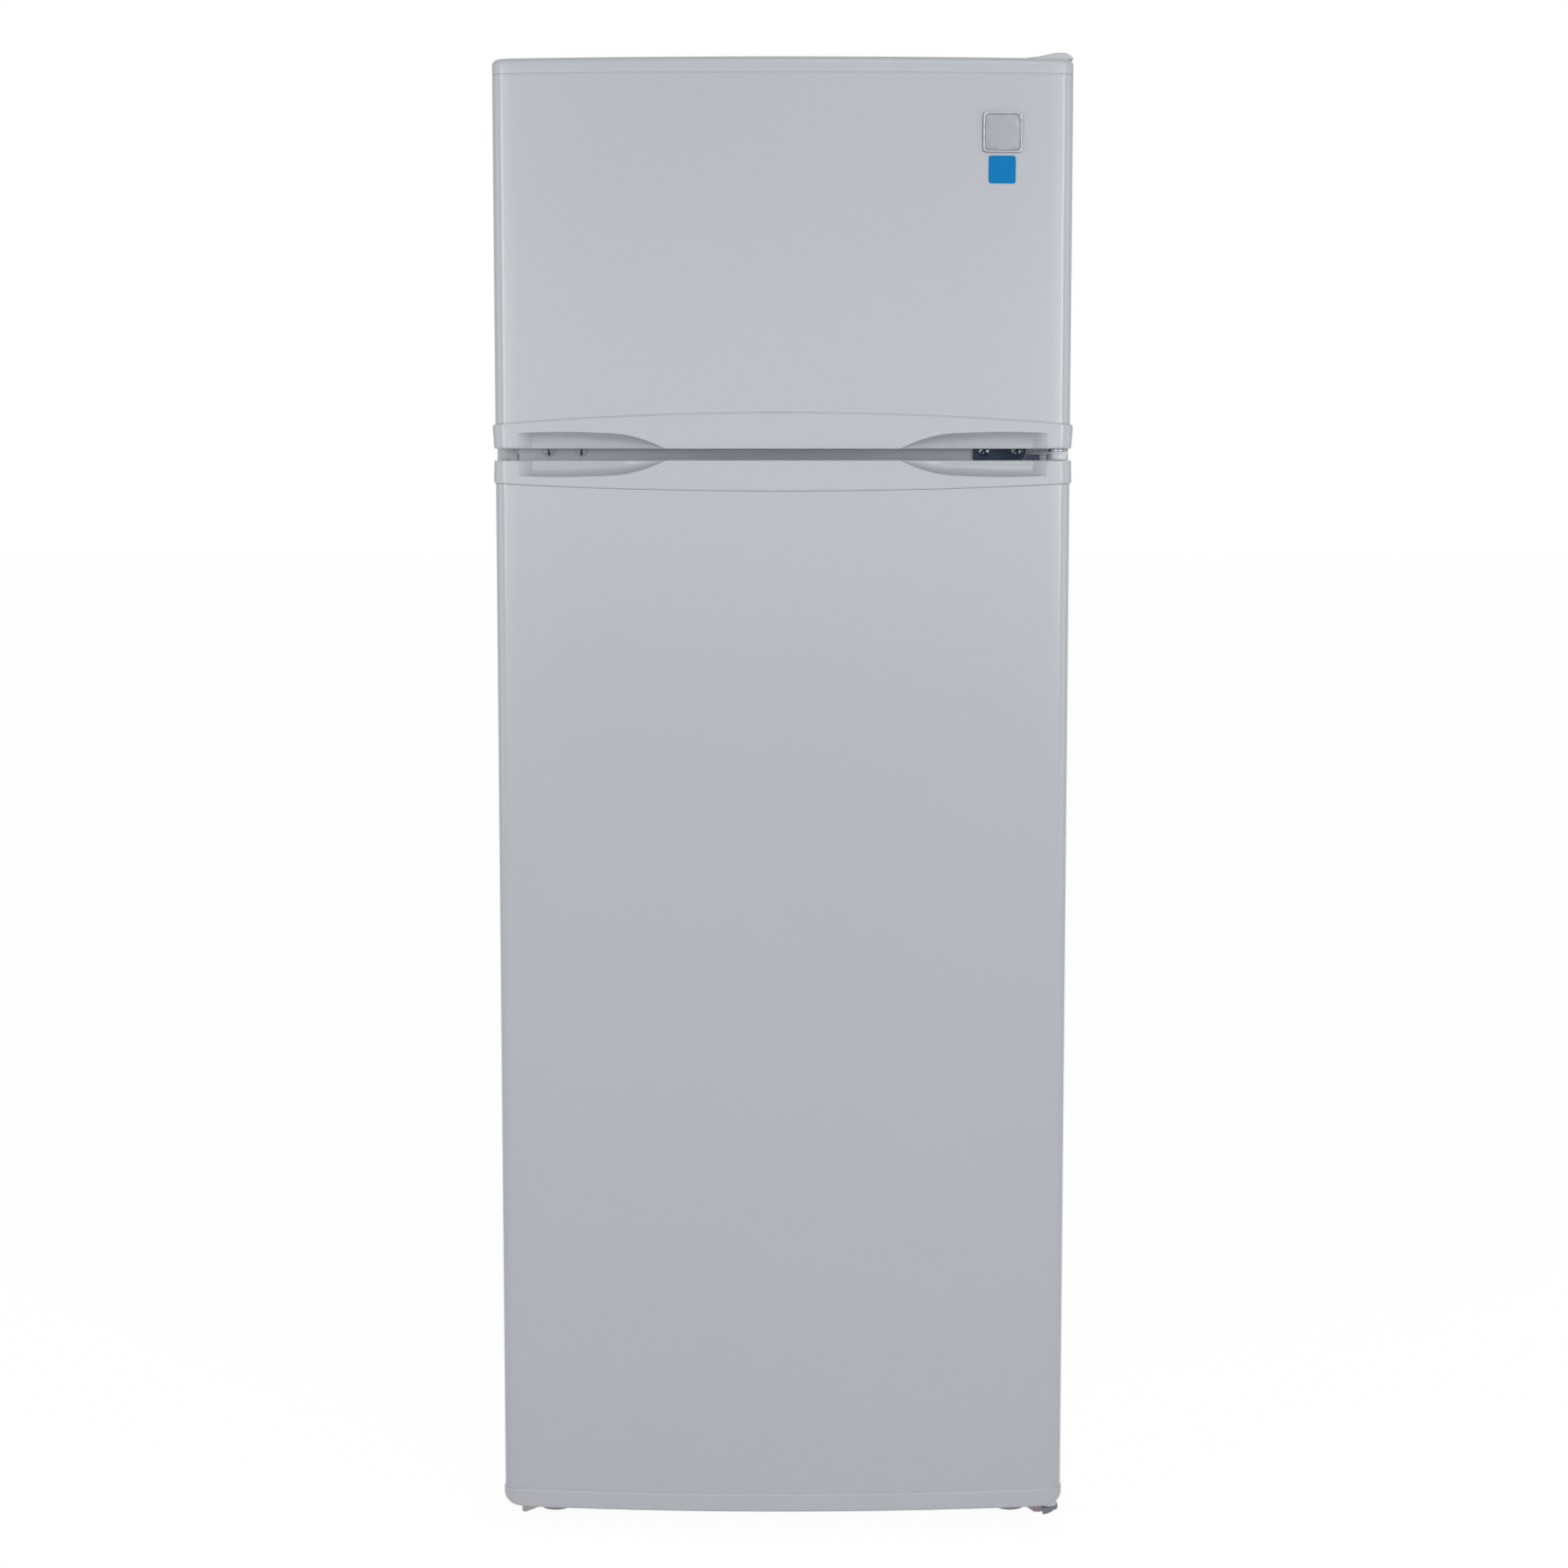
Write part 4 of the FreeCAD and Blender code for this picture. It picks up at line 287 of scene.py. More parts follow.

# %% [markdown]
# ## Painted shade on one finish
# The shade at the bottom of a screw's recess and in the joint beside a hinge is painted
# into the colour: a darker colour is mixed in there. A small group gives one between two
# limits of a coordinate and zero outside them. Several such bands multiplied together mark
# a place where the darker colour of painted shade is mixed into a finish.

# %% Bands
def make_band_group():
    """One between two limits of a value, and zero outside them, with a soft edge."""
    group, enter, leave = new_group("band_mask",
                                    [("Value", 0.0), ("Low", 0.0), ("High", 1.0),
                                     ("Soft", 0.0002)],
                                    [("NodeSocketFloat", "Mask")])
    value, low, high = (enter.outputs[k] for k in ("Value", "Low", "High"))
    sides = [maths(group, "DIVIDE", maths(group, "SUBTRACT", above, below),
                   enter.outputs["Soft"], clamp=True)
             for above, below in ((value, low), (high, value))]
    group.links.new(maths(group, "MULTIPLY", *sides), leave.inputs["Mask"])
    return group


band_group = make_band_group()


def paint_shade(material, colour, bands):
    """Mixes in a darker colour, painted shade, where every band (axis, low, high, soft)
    holds.
    """
    tree = material.node_tree
    link = tree.links.new
    shader = [n for n in tree.nodes if n.type == "BSDF_PRINCIPLED"][0]
    place = tree.nodes.new("ShaderNodeTexCoord")
    split = tree.nodes.new("ShaderNodeSeparateXYZ")
    link(place.outputs["Object"], split.inputs[0])
    total = 1.0
    for axis, low, high, soft in bands:
        value = split.outputs[axis[-1]]
        if axis.startswith("abs"):
            value = maths(tree, "ABSOLUTE", value)
        band = tree.nodes.new("ShaderNodeGroup")
        band.node_tree = band_group
        link(value, band.inputs["Value"])
        for label, limit in (("Low", low), ("High", high), ("Soft", soft)):
            band.inputs[label].default_value = limit
        total = maths(tree, "MULTIPLY", total, band.outputs["Mask"])
    mix = tree.nodes.new("ShaderNodeMix")
    mix.data_type = "RGBA"
    mix.inputs["B"].default_value = colour
    link(total, mix.inputs["Factor"])
    link(shader.inputs["Base Color"].links[0].from_socket, mix.inputs["A"])
    link(mix.outputs["Result"], shader.inputs["Base Color"])


print("group", band_group.name)

# %% [markdown]
# ## The finishes
# One helper builds a finish from plain words: its colour, how rough it is, how strong and
# how fine its grain is, and how much dust it holds. Gloss values that are the same all
# over, such as the clear coat's, sit on the shader's own sockets.

# %% Finishes
FINISH = {}


def finish(name, colour, rough, grain=0.05, fine=900.0, wave=60.0, share=0.3, tone=0.03,
           dust=0.1, spread=0.06, metallic=0.0, coat=0.0, clear=0.0, ior=1.5,
           grain_size=0.0006):
    """A named finish; colour is three screen numbers, grain and spread are strengths."""
    material, tree, shader, _ = new_material(name)
    link = tree.links.new
    tones = tree.nodes.new("ShaderNodeGroup")
    tones.node_tree = tone_group
    tones.inputs["Color"].default_value = srgb(*colour)
    tones.inputs["Tone"].default_value = tone
    tones.inputs["Dust"].default_value = dust
    link(tones.outputs["Color"], shader.inputs["Base Color"])
    grains = tree.nodes.new("ShaderNodeGroup")
    grains.node_tree = grain_group
    grains.inputs["Fine Scale"].default_value = fine
    grains.inputs["Wave Scale"].default_value = wave
    grains.inputs["Wave Share"].default_value = share
    bump = tree.nodes.new("ShaderNodeBump")
    bump.inputs["Strength"].default_value = grain
    bump.inputs["Distance"].default_value = grain_size
    link(grains.outputs["Height"], bump.inputs["Height"])
    link(bump.outputs["Normal"], shader.inputs["Normal"])
    span = tree.nodes.new("ShaderNodeMapRange")
    span.inputs["From Min"].default_value = 0.3
    span.inputs["From Max"].default_value = 0.7
    span.inputs["To Min"].default_value = max(rough - spread, 0.02)
    span.inputs["To Max"].default_value = min(rough + spread, 1.0)
    link(grains.outputs["Mask"], span.inputs["Value"])
    link(span.outputs["Result"], shader.inputs["Roughness"])
    shader.inputs["Metallic"].default_value = metallic
    shader.inputs["Coat Weight"].default_value = coat
    shader.inputs["Coat Roughness"].default_value = 0.12
    shader.inputs["Transmission Weight"].default_value = clear
    shader.inputs["IOR"].default_value = ior
    FINISH[name] = material


finish("door_paint", (188, 191, 197), 0.24, grain=0.003, fine=420.0, wave=90.0,
       share=0.3, tone=0.015, dust=0.10, coat=0.1, spread=0.008)
finish("cabinet_paint", (200, 203, 208), 0.42, grain=0.006, fine=380.0, wave=80.0,
       tone=0.02, dust=0.16, spread=0.01)
finish("cap_plastic", (190, 193, 198), 0.25, grain=0.003, fine=500.0, tone=0.012,
       dust=0.10, spread=0.004)
finish("trim_plastic", (214, 216, 221), 0.33, grain=0.01, fine=500.0, tone=0.02,
       spread=0.03)
finish("hood_plastic", (204, 206, 212), 0.33, grain=0.01, fine=500.0, tone=0.02,
       spread=0.03)
# Painted light: the bush in the gap at the middle hinge takes a lighter copy of the trim
# plastic that the bottom bush has, so that it looks lit in the shade of the gap.
finish("bush_plastic_painted_light", (242, 244, 248), 0.35, grain=0.01, tone=0.02)
finish("liner_plastic", (226, 229, 233), 0.28, grain=0.003, fine=300.0, wave=40.0,
       tone=0.015, dust=0.04, spread=0.003)
finish("foam", (222, 202, 150), 0.85, grain=0.5, fine=500.0, tone=0.12,
       grain_size=0.002)
finish("gasket_rubber", (206, 208, 212), 0.6, grain=0.1, fine=1100.0, tone=0.05)
finish("hinge_steel", (44, 54, 68), 0.38, grain=0.08, fine=700.0, tone=0.12,
       metallic=0.8)
# Painted light: the zinc arm of the middle hinge is given a near-white finish without
# metal, so that it looks lit in the shaded gap.
finish("arm_painted_light", (244, 245, 249), 0.42, grain=0.02, fine=600.0, tone=0.05)
# Painted shade: the root's steel is darker than its bare colour, for the shade under the
# hinge arm.
finish("root_steel_painted_shade", (86, 95, 110), 0.4, grain=0.05, fine=600.0, tone=0.1, metallic=0.7)
finish("arm_steel", (120, 127, 140), 0.4, grain=0.08, fine=700.0, tone=0.12,
       metallic=0.7)
# Painted light: the mullion's finish is lighter than the cabinet's paint, so that the deep
# gap between the doors looks lit.
finish("mullion_light_and_joint_shade", (244, 249, 255), 0.5, grain=0.02, fine=500.0, tone=0.03,
       dust=0.05)
finish("zinc_steel", (176, 180, 184), 0.42, grain=0.12, fine=260.0, wave=30.0,
       tone=0.12, dust=0.35, metallic=0.85)
finish("bright_steel", (128, 134, 143), 0.1, grain=0.005, fine=500.0, tone=0.05,
       metallic=1.0, spread=0.01)
finish("clear_plastic", (226, 236, 242), 0.12, grain=0.02, fine=300.0, tone=0.02,
       dust=0.0, clear=0.9, ior=1.45)
finish("frosted_plastic", (232, 238, 243), 0.38, grain=0.15, fine=900.0, tone=0.02,
       dust=0.0, clear=0.75, ior=1.45)
finish("shelf_glass", (214, 236, 230), 0.04, grain=0.0, tone=0.01, dust=0.0,
       spread=0.02, clear=0.95, ior=1.5)
finish("lamp_glass", (250, 246, 232), 0.3, grain=0.02, tone=0.02, dust=0.0, clear=0.3)
finish("white_wire", (228, 230, 233), 0.3, grain=0.05, fine=900.0, tone=0.03, coat=0.3)
finish("black_metal", (34, 34, 36), 0.36, grain=0.12, fine=600.0, tone=0.15, dust=0.5)
finish("copper", (196, 120, 84), 0.3, grain=0.08, fine=500.0, tone=0.2, metallic=1.0,
       dust=0.2)
finish("evaporator_metal", (214, 217, 220), 0.45, grain=0.02, fine=300.0, tone=0.03,
       metallic=0.5, spread=0.01)
finish("black_plastic", (36, 36, 38), 0.5, grain=0.15, fine=900.0, tone=0.1, dust=0.5)
finish("black_rubber", (28, 28, 29), 0.7, grain=0.2, fine=900.0, tone=0.1, dust=0.5)
finish("foot_plastic", (214, 200, 203), 0.5, grain=0.12, fine=900.0, tone=0.1, dust=0.3)
for entry in frame["record"]["subparts"]:
    holder = nodes[entry["node"]]
    holder.data.materials.clear()
    holder.data.materials.append(FINISH[entry["material_slot"]])
# The mullion takes this lighter finish of painted light in place of the cabinet's paint.
nodes["mullion_rail"].data.materials[0] = FINISH["mullion_light_and_joint_shade"]
# Painted shade: a dark band at each end of the mullion stands for the shade in the joint
# beside the cabinet's side; there is no cut.
paint_shade(FINISH["mullion_light_and_joint_shade"], srgb(24, 28, 34),
       [("abs X", 0.2550, 0.2562, 0.0003), ("Z", 1.0400, 1.0590, 0.0004)])
for drawer in ("crisper_drawer", "freezer_lower_bin", "freezer_upper_bin"):
    nodes[drawer].data.materials[0] = FINISH["frosted_plastic"]
print("finishes", len(FINISH))

# %% [markdown]
# ## The doors' section
# Seen from above, each door is a shallow bow with small rounded corners and straight
# sides. The skins and the moulded caps all follow that one line, so it is worked out once,
# as a list of points with the same count whatever the width. A cap that flares only asks
# for a wider line.

# %% Door line
door_low, door_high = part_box("fresh_door_skin")
HALF = door_high[0]
BACK = door_high[1]
APEX = door_low[1]
BOW = 2.07
CORNER = 0.012
BOW_STEPS = 44
CORNER_STEPS = 10


def bow_y(x, inset=0.0):
    """Depth of the bowed front at a distance x from the middle."""
    return APEX + BOW - math.sqrt((BOW - inset) ** 2 - x * x)


def door_line(half, inset=0.0, extra=()):
    """Front line of a door from its left back edge round to its right back edge.

    extra holds further distances from the middle that must be points of the line.
    """
    corner = max(CORNER - inset, 0.0008)
    bow = BOW - inset
    across = half - inset
    centre_x = across - corner
    centre_y = APEX + BOW - math.sqrt((bow - corner) ** 2 - centre_x ** 2)
    lean = math.asin(centre_x / (bow - corner))
    end_x = bow * math.sin(lean)
    front = sorted(set([end_x * (2.0 * k / BOW_STEPS - 1.0) for k in range(BOW_STEPS + 1)]
                       + [side * d for d in extra for side in (-1.0, 1.0)]))
    right = []
    for k in range(1, CORNER_STEPS + 1):
        turn = -math.pi / 2 + lean + k * (math.pi / 2 - lean) / CORNER_STEPS
        right.append((centre_x + corner * math.cos(turn),
                      centre_y + corner * math.sin(turn)))
    for share in (0.35, 0.7, 0.97, 1.0):
        right.append((across, centre_y + (BACK - centre_y) * share))
    left = [(-x, y) for x, y in reversed(right)]
    return left + [(x, bow_y(x, inset)) for x in front] + right


print("door half width", round(HALF, 4), "line points", len(door_line(HALF)))

# %% [markdown]
# Every piece starts as rows of points. Faces join the rows, points that lie on
# one another are merged, and all faces are turned outward. The finished piece rides on its
# body and says which nodes it replaces.

# %% Meshes from rows of points
MERGE = 1e-6


def clean_mesh(name, verts, faces, smooth=True, merge=MERGE, dissolve=True):
    """A mesh with close points merged and all its faces outward."""
    mesh = bpy.data.meshes.new(name)
    mesh.from_pydata([tuple(v) for v in verts], [], faces)
    work = bmesh.new()
    work.from_mesh(mesh)
    bmesh.ops.remove_doubles(work, verts=work.verts, dist=merge)
    if dissolve:
        bmesh.ops.dissolve_degenerate(work, dist=merge, edges=work.edges)
    bmesh.ops.recalc_face_normals(work, faces=work.faces)
    for face in work.faces:
        face.smooth = smooth
    work.to_mesh(mesh)
    work.free()
    return mesh


def piece_from(name, verts, faces, material, body, replaced=(), smooth=True):
    """A finished piece that rides on its body, with its replaced nodes."""
    mesh = clean_mesh(name, verts, faces, smooth)
    made = bpy.data.objects.new(name, mesh)
    scene.collection.objects.link(made)
    mesh.materials.append(material)
    if smooth:
        mark_sharp(mesh, 38.0)
    declare(made, body, replaced)
    return made


def declare(made, body, replaced):
    """The piece's body and the nodes it replaces, if any."""
    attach(made, body)
    if replaced:
        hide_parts(*replaced)


def mark_sharp(mesh, degrees):
    """Keeps edges that turn more than an angle crisp in an otherwise smooth mesh."""
    limit = math.radians(degrees)
    work = bmesh.new()
    work.from_mesh(mesh)
    for edge in work.edges:
        turned = len(edge.link_faces) == 2 and edge.calc_face_angle(0.0) > limit
        edge.smooth = not turned
    work.to_mesh(mesh)
    work.free()


def bridge(rows, closed=False):
    """Faces between rows of equal length, and the flat list of their points."""
    verts = [point for row in rows for point in row]
    count = len(rows[0])
    faces = []
    for level in range(len(rows) - 1):
        for k in range(count if closed else count - 1):
            a = level * count + k
            b = level * count + (k + 1) % count
            faces.append((a, b, b + count, a + count))
    return verts, faces


def end_faces(verts, count):
    """The first and the last row of points as two closing faces."""
    return [tuple(range(count)), tuple(range(len(verts) - count, len(verts)))]


print("mesh helpers ready")

# %% [markdown]
# ## The skins
# Each skin is painted steel sheet, rolled to the bow, with its edges turned in at the back.
# The edge that meets a moulded cap is an arch. The rows of the mesh therefore don't run
# level: each point of the door's line has its own lowest and highest place, and the rows
# share out the height between them. The hem is turned in a little, so that the joint with
# the cap shows as a fine line.

# %% Skins
HEM = 0.0007


def arch_rise(x, rise):
    return rise * (1.0 - (x / HALF) ** 2)


def door_skin(name, node, body, low, low_rise, high, high_rise):
    line = door_line(HALF)
    flange = 0.013
    line = [(-(HALF - flange), BACK), (-(HALF - 0.002), BACK)] + line
    line += [(HALF - 0.002, BACK), (HALF - flange, BACK)]
    line = [(x, y) for x, y in line
            if abs(abs(x) - HALF) >= MERGE or abs(y - BACK) >= MERGE]
    rows = []
    inner_line = [(x * (1 - HEM / HALF), y + HEM * (1 if y < BACK - 0.01 else -0.2))
                  for x, y in line]
    shares = [0.0] + [0.0002 + 0.9996 * k / 24 for k in range(25)] + [1.0]
    for number, share in enumerate(shares):
        used = inner_line if number in (0, len(shares) - 1) else line
        row = []
        for x, y in used:
            bottom = low + arch_rise(x, low_rise)
            top = high + arch_rise(x, high_rise)
            row.append((x, y, bottom + (top - bottom) * share))
        rows.append(row)
    verts, faces = bridge(rows)
    made = piece_from(name, verts, faces, FINISH["door_paint"], body, (node,))
    sheet = made.modifiers.new("gauge", "SOLIDIFY")
    sheet.thickness = 0.0008
    sheet.offset = -1.0
    return made


Z_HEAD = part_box("freezer_door_top_cap")[1][2]
Z_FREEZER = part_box("freezer_door_bottom_cap")[0][2]
Z_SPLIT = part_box("fresh_door_top_cap")[1][2]
Z_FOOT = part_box("fresh_door_bottom_cap")[0][2]
HEAD_EDGE = Z_HEAD - 0.015
UPPER_EDGE = Z_FREEZER + 0.023
LOWER_EDGE = Z_SPLIT - 0.022
FOOT_EDGE = Z_FOOT + 0.019
UPPER_RISE = 0.011
LOWER_RISE = 0.007
door_skin("freezer_skin", "freezer_door_skin", "freezer_door", UPPER_EDGE, UPPER_RISE,
          HEAD_EDGE, 0.0)
door_skin("fresh_skin", "fresh_door_skin", "fresh_door", FOOT_EDGE, 0.0, LOWER_EDGE,
          -LOWER_RISE)
print("skins from", round(FOOT_EDGE, 4), "to", round(HEAD_EDGE, 4))

# %% [markdown]
# ## The caps with the hand grips
# The two caps that meet at the gap are injection mouldings. Their ends flare past the
# skin into small ears, and each has a pair of scooped grips for the fingers: an arched
# mouth that is low towards the middle and tall outside, a roof that curves down into a
# back wall, and a slanting outer end. One rule gives the depth of the scoop at every
# point, so the grid of the cap follows the arch exactly and its lip stays crisp.

# %% Caps with grips
TIP = 0.1106
KNEE = 0.1665
END = 0.252
END_WALL = 0.2355
END_SOFT = 0.16
SCOOP = 0.0145
SLOPE_BULGE = 0.0036
END_BULGE = 0.0012
LEDGE = 0.0005
WALL_DEPTH = 0.029
CAP_HEM = 0.0006
EAR_ROUNDING = 0.0042


def hump(share):
    """Zero at both ends of a run and one at its middle."""
    return 4.0 * share * (1.0 - share)


def mouth(x):
    """Height of the scoop's mouth at a distance from the middle."""
    x = abs(x)
    if x <= TIP:
        return LEDGE
    if x < KNEE:
        t = (x - TIP) / (KNEE - TIP)
        return max(LEDGE, SCOOP * t + SLOPE_BULGE * hump(t))
    t = min((x - KNEE) / (END - KNEE), 1.0)
    return SCOOP + END_BULGE * hump(t)


def scoop_depth(x):
    """Depth of the back wall behind the bowed front at a distance from the middle."""
    x = abs(x)
    if x <= TIP or x >= END:
        return 0.0
    full = (APEX + WALL_DEPTH) - bow_y(x)
    if x > END_WALL:
        share = (END - x) / (END - END_WALL)
        slope = 1.0 / (1.0 - END_SOFT)
        if share < END_SOFT:
            return full * slope * share ** 2 / (2 * END_SOFT)
        if share > 1.0 - END_SOFT:
            return full * (1.0 - slope * (1.0 - share) ** 2 / (2 * END_SOFT))
        return full * slope * (share - END_SOFT / 2)
    grow = min((x - TIP) / (KNEE - TIP), 1.0)
    return full * (1.0 - (1.0 - grow) ** 2) ** 0.6


def scoop_columns():
    """Distances from the middle at which the cap's line needs points."""
    columns = [TIP - 0.001, TIP]
    steps = 26
    columns += [TIP + (KNEE - TIP) * (k / steps) ** 1.5 for k in range(1, steps + 1)]
    columns += [KNEE + (END_WALL - KNEE) * k / 12 for k in range(1, 13)]
    run = END - END_WALL
    columns += [END_WALL + run * END_SOFT * k / 5 for k in range(1, 6)]
    columns += [END_WALL + run * (END_SOFT + (1.0 - 2.0 * END_SOFT) * k / 4)
                for k in range(1, 4)]
    columns += [END - run * END_SOFT * k / 5 for k in range(6)]
    columns.append(END + 0.0008)
    return columns


def cap_piece(name, rows, body, node):
    """Closes a cap's rows at both ends and along its back, and makes the piece."""
    verts, faces = bridge(rows)
    count = len(rows[0])
    faces += end_faces(verts, count)
    starts = [k * count for k in range(len(rows))]
    faces.append(tuple(starts + [k + count - 1 for k in reversed(starts)]))
    return piece_from(name, verts, faces, FINISH["cap_plastic"], body, (node,))


def grip_cap(name, node, body, z_gap, z_edge, rise, ear_gap, ear_edge):
    """A cap between the gap (with its grips) and the arched edge of the skin."""
    way = 1.0 if z_edge > z_gap else -1.0
    tall = abs(z_edge - z_gap)
    extra = scoop_columns()
    base = door_line(HALF, 0.0, extra)
    rounding = 0.0012
    levels = []
    for k in range(5):
        turn = k / 4 * math.pi / 2
        levels.append(("scoop", rounding * (1 - math.cos(turn)) / SCOOP,
                       rounding * (1 - math.sin(turn))))
    for share in (0.2, 0.32, 0.44, 0.56, 0.66, 0.76, 0.84, 0.9, 0.945, 0.975, 0.992, 1.0):
        levels.append(("scoop", share, 0.0))
    for share in (0.03, 0.1, 0.25, 0.45, 0.62, 0.78, 0.9, 0.96, 0.985, 1.0):
        levels.append(("face", share, 0.0))
    rows = []
    for kind, share, inset in levels:
        row = []
        for x, y in base:
            arch = arch_rise(min(abs(x), HALF), rise)
            top = tall + arch
            opening = mouth(x)
            if kind == "scoop":
                height = opening * share
                dip = scoop_depth(x) * math.sqrt(max(1.0 - share ** 3.2, 0.0))
            else:
                height = opening + (top - opening) * share
                dip = 0.0
            t = min(height / tall, 1.0)
            flare = ear_gap + (ear_edge - ear_gap) * t
            near_edge = max(0.0, 1.0 - (top - height) / EAR_ROUNDING)
            flare -= (ear_edge - 0.0004) * (1.0 - math.sqrt(max(1.0 - near_edge ** 2, 0.0)))
            hem = CAP_HEM * max(0.0, 1.0 - (top - height) / CAP_HEM)
            side = max(0.0, (abs(x) - (HALF - CORNER)) / CORNER)
            grown = x + math.copysign(flare * min(side, 1.0), x)
            back_pull = (inset + hem) * (1.0 if y < BACK - 0.006 else 0.0)
            grown -= math.copysign((inset + hem) * min(side, 1.0), x)
            row.append((grown, y + dip + back_pull, z_gap + way * height))
        rows.append(row)
    return cap_piece(name, rows, body, node)


grip_cap("freezer_grip_cap", "freezer_door_bottom_cap", "freezer_door", Z_FREEZER,
         UPPER_EDGE, UPPER_RISE, 0.0013, 0.0030)
grip_cap("fresh_grip_cap", "fresh_door_top_cap", "fresh_door", Z_SPLIT, LOWER_EDGE,
         LOWER_RISE, 0.0013, 0.0019)
print("grips from", TIP, "to", END, "m each side")

# %% [markdown]
# ## The plain caps
# The head cap of the freezer door and the foot cap of the lower door have no grips. Both
# are rounded along their outer rim, where the foot cap's rounding is the larger.

# %% Plain caps
def rim_inset(radius, height):
    """How far a rounded rim stands back at a height above its lowest line."""
    if height >= radius:
        return 0.0
    return radius - math.sqrt(max(radius ** 2 - (radius - height) ** 2, 0.0))


def plain_cap(name, node, body, z_rim, z_edge, ear, front_rim, side_rim):
    """A cap with a softly rounded front rim and a rounder corner at each side."""
    way = 1.0 if z_edge > z_rim else -1.0
    tall = abs(z_edge - z_rim)
    heights = {rim * (1 - math.cos(k / 10 * math.pi / 2))
               for rim in (front_rim, side_rim) for k in range(11)}
    heights = sorted(heights | {tall * 0.8})
    rows = [(h, rim_inset(front_rim, h), rim_inset(side_rim, h)) for h in heights]
    rows += [(tall - 0.0008, 0.0, 0.0), (tall, CAP_HEM, CAP_HEM)]
    fade = 2.6 * CORNER
    grid = []
    for height, front_in, side_in in rows:
        row = []
        for x, y in door_line(HALF + ear, 0.0):
            side = min(max(0.0, (abs(x) - (HALF - fade)) / fade), 1.0)
            side = side * side * (3 - 2 * side)
            pull_y = front_in if y < BACK - 0.03 else 0.0
            row.append((x - math.copysign(side_in * side, x), y + pull_y,
                        z_rim + way * height))
        grid.append(row)
    return cap_piece(name, grid, body, node)


plain_cap("freezer_head_cap", "freezer_door_top_cap", "freezer_door", Z_HEAD, HEAD_EDGE,
          0.0, 0.006, 0.006)
plain_cap("fresh_foot_cap", "fresh_door_bottom_cap", "fresh_door", Z_FOOT, FOOT_EDGE,
          0.001, 0.0028, 0.013)
print("plain caps done")

# %% [markdown]
# ## Turned pieces and strips
# Feet, rollers, washers, knobs and the lamp are turned shapes: a half outline spun about
# an axis. Brackets, trims and marks are flat outlines carried through a thickness, with
# their edges rounded.

# %% Helpers for turned and moulded pieces
UP = (0, 0, 1)


def turned(name, outline, place, axis, material, body, replaced=(), steps=40, slot=None,
           hollow=False):
    """Spins an outline of (radius, height) points about an axis through a place.

    A hollow piece has a hole, so its outline is a closed loop and no end is capped.
    """
    rows = []
    for radius, height in outline:
        rows.append([Vector((radius * math.cos(2 * math.pi * k / steps),
                             radius * math.sin(2 * math.pi * k / steps), height))
                     for k in range(steps)])
    verts, faces = bridge(rows, closed=True)
    if not hollow:
        faces += end_faces(verts, steps)
    tilt = Vector(UP).rotation_difference(Vector(axis)).to_matrix()
    verts = [tilt @ v + Vector(place) for v in verts]
    return piece_from(name, verts, faces, material, body, replaced)


def slab(low, high):
    """Corner points and faces of a block between two corners."""
    x0, y0, z0 = low
    x1, y1, z1 = high
    verts = [(x0, y0, z0), (x1, y0, z0), (x1, y1, z0), (x0, y1, z0),
             (x0, y0, z1), (x1, y0, z1), (x1, y1, z1), (x0, y1, z1)]
    faces = [(0, 3, 2, 1), (4, 5, 6, 7), (0, 1, 5, 4), (1, 2, 6, 5), (2, 3, 7, 6),
             (3, 0, 4, 7)]
    return verts, faces


def add_parts(verts, faces, parts):
    """Adds blocks and prisms to a list of points and a list of faces."""
    for part_verts, part_faces in parts:
        start = len(verts)
        verts += part_verts
        faces += [tuple(start + k for k in face) for face in part_faces]


def moulded(name, parts, material, body, replaced=(), round_by=0.001, segments=3):
    """Joins blocks and prisms into one piece with rounded edges."""
    verts, faces = [], []
    add_parts(verts, faces, parts)
    made = piece_from(name, verts, faces, material, body, replaced, smooth=False)
    if round_by:
        bevel = made.modifiers.new("edge_round", "BEVEL")
        bevel.width = round_by
        bevel.segments = segments
        bevel.limit_method = "ANGLE"
        bevel.angle_limit = math.radians(30)
        bevel.harden_normals = False
        made.data.shade_smooth()
        mark_sharp(made.data, 30.0)
        smooth = made.modifiers.new("even_shading", "WEIGHTED_NORMAL")
        smooth.keep_sharp = False
        for edge in made.data.edges:
            edge.use_edge_sharp = False


def prism(outline, depth_low, depth_high, axis="y"):
    """A flat outline of points carried from one depth to another along an axis."""
    def at(point, depth):
        a, b = point
        return {"y": (a, depth, b), "x": (depth, a, b), "z": (a, b, depth)}[axis]
    count = len(outline)
    verts = [at(p, depth_low) for p in outline] + [at(p, depth_high) for p in outline]
    faces = [tuple(range(count)), tuple(reversed(range(count, 2 * count)))]
    faces += [(k, (k + 1) % count, count + (k + 1) % count, count + k)
              for k in range(count)]
    return verts, faces


print("helpers for turned and moulded pieces ready")

# %% [markdown]
# ## Things that repeat, by Geometry Nodes
# Screws sit on many places, and wires repeat at one pitch. For each of these a small tree
# puts a copy on every point of a simple mesh of places. The tree ends in Realize Instances
# and Set Material, and its result is turned to a plain mesh, so that nothing depends on
# the modifier later.

# %% Geometry Nodes helpers
def as_plain_piece(carrier, name, body, replaced=()):
    """Turns what a modifier makes into a plain mesh piece on a body."""
    bpy.context.view_layer.update()
    seen = bpy.context.evaluated_depsgraph_get()
    mesh = bpy.data.meshes.new_from_object(carrier.evaluated_get(seen))
    mesh.name = name
    carrier.modifiers.clear()
    bpy.data.objects.remove(carrier)
    made = bpy.data.objects.new(name, mesh)
    scene.collection.objects.link(made)
    declare(made, body, replaced)
    return made


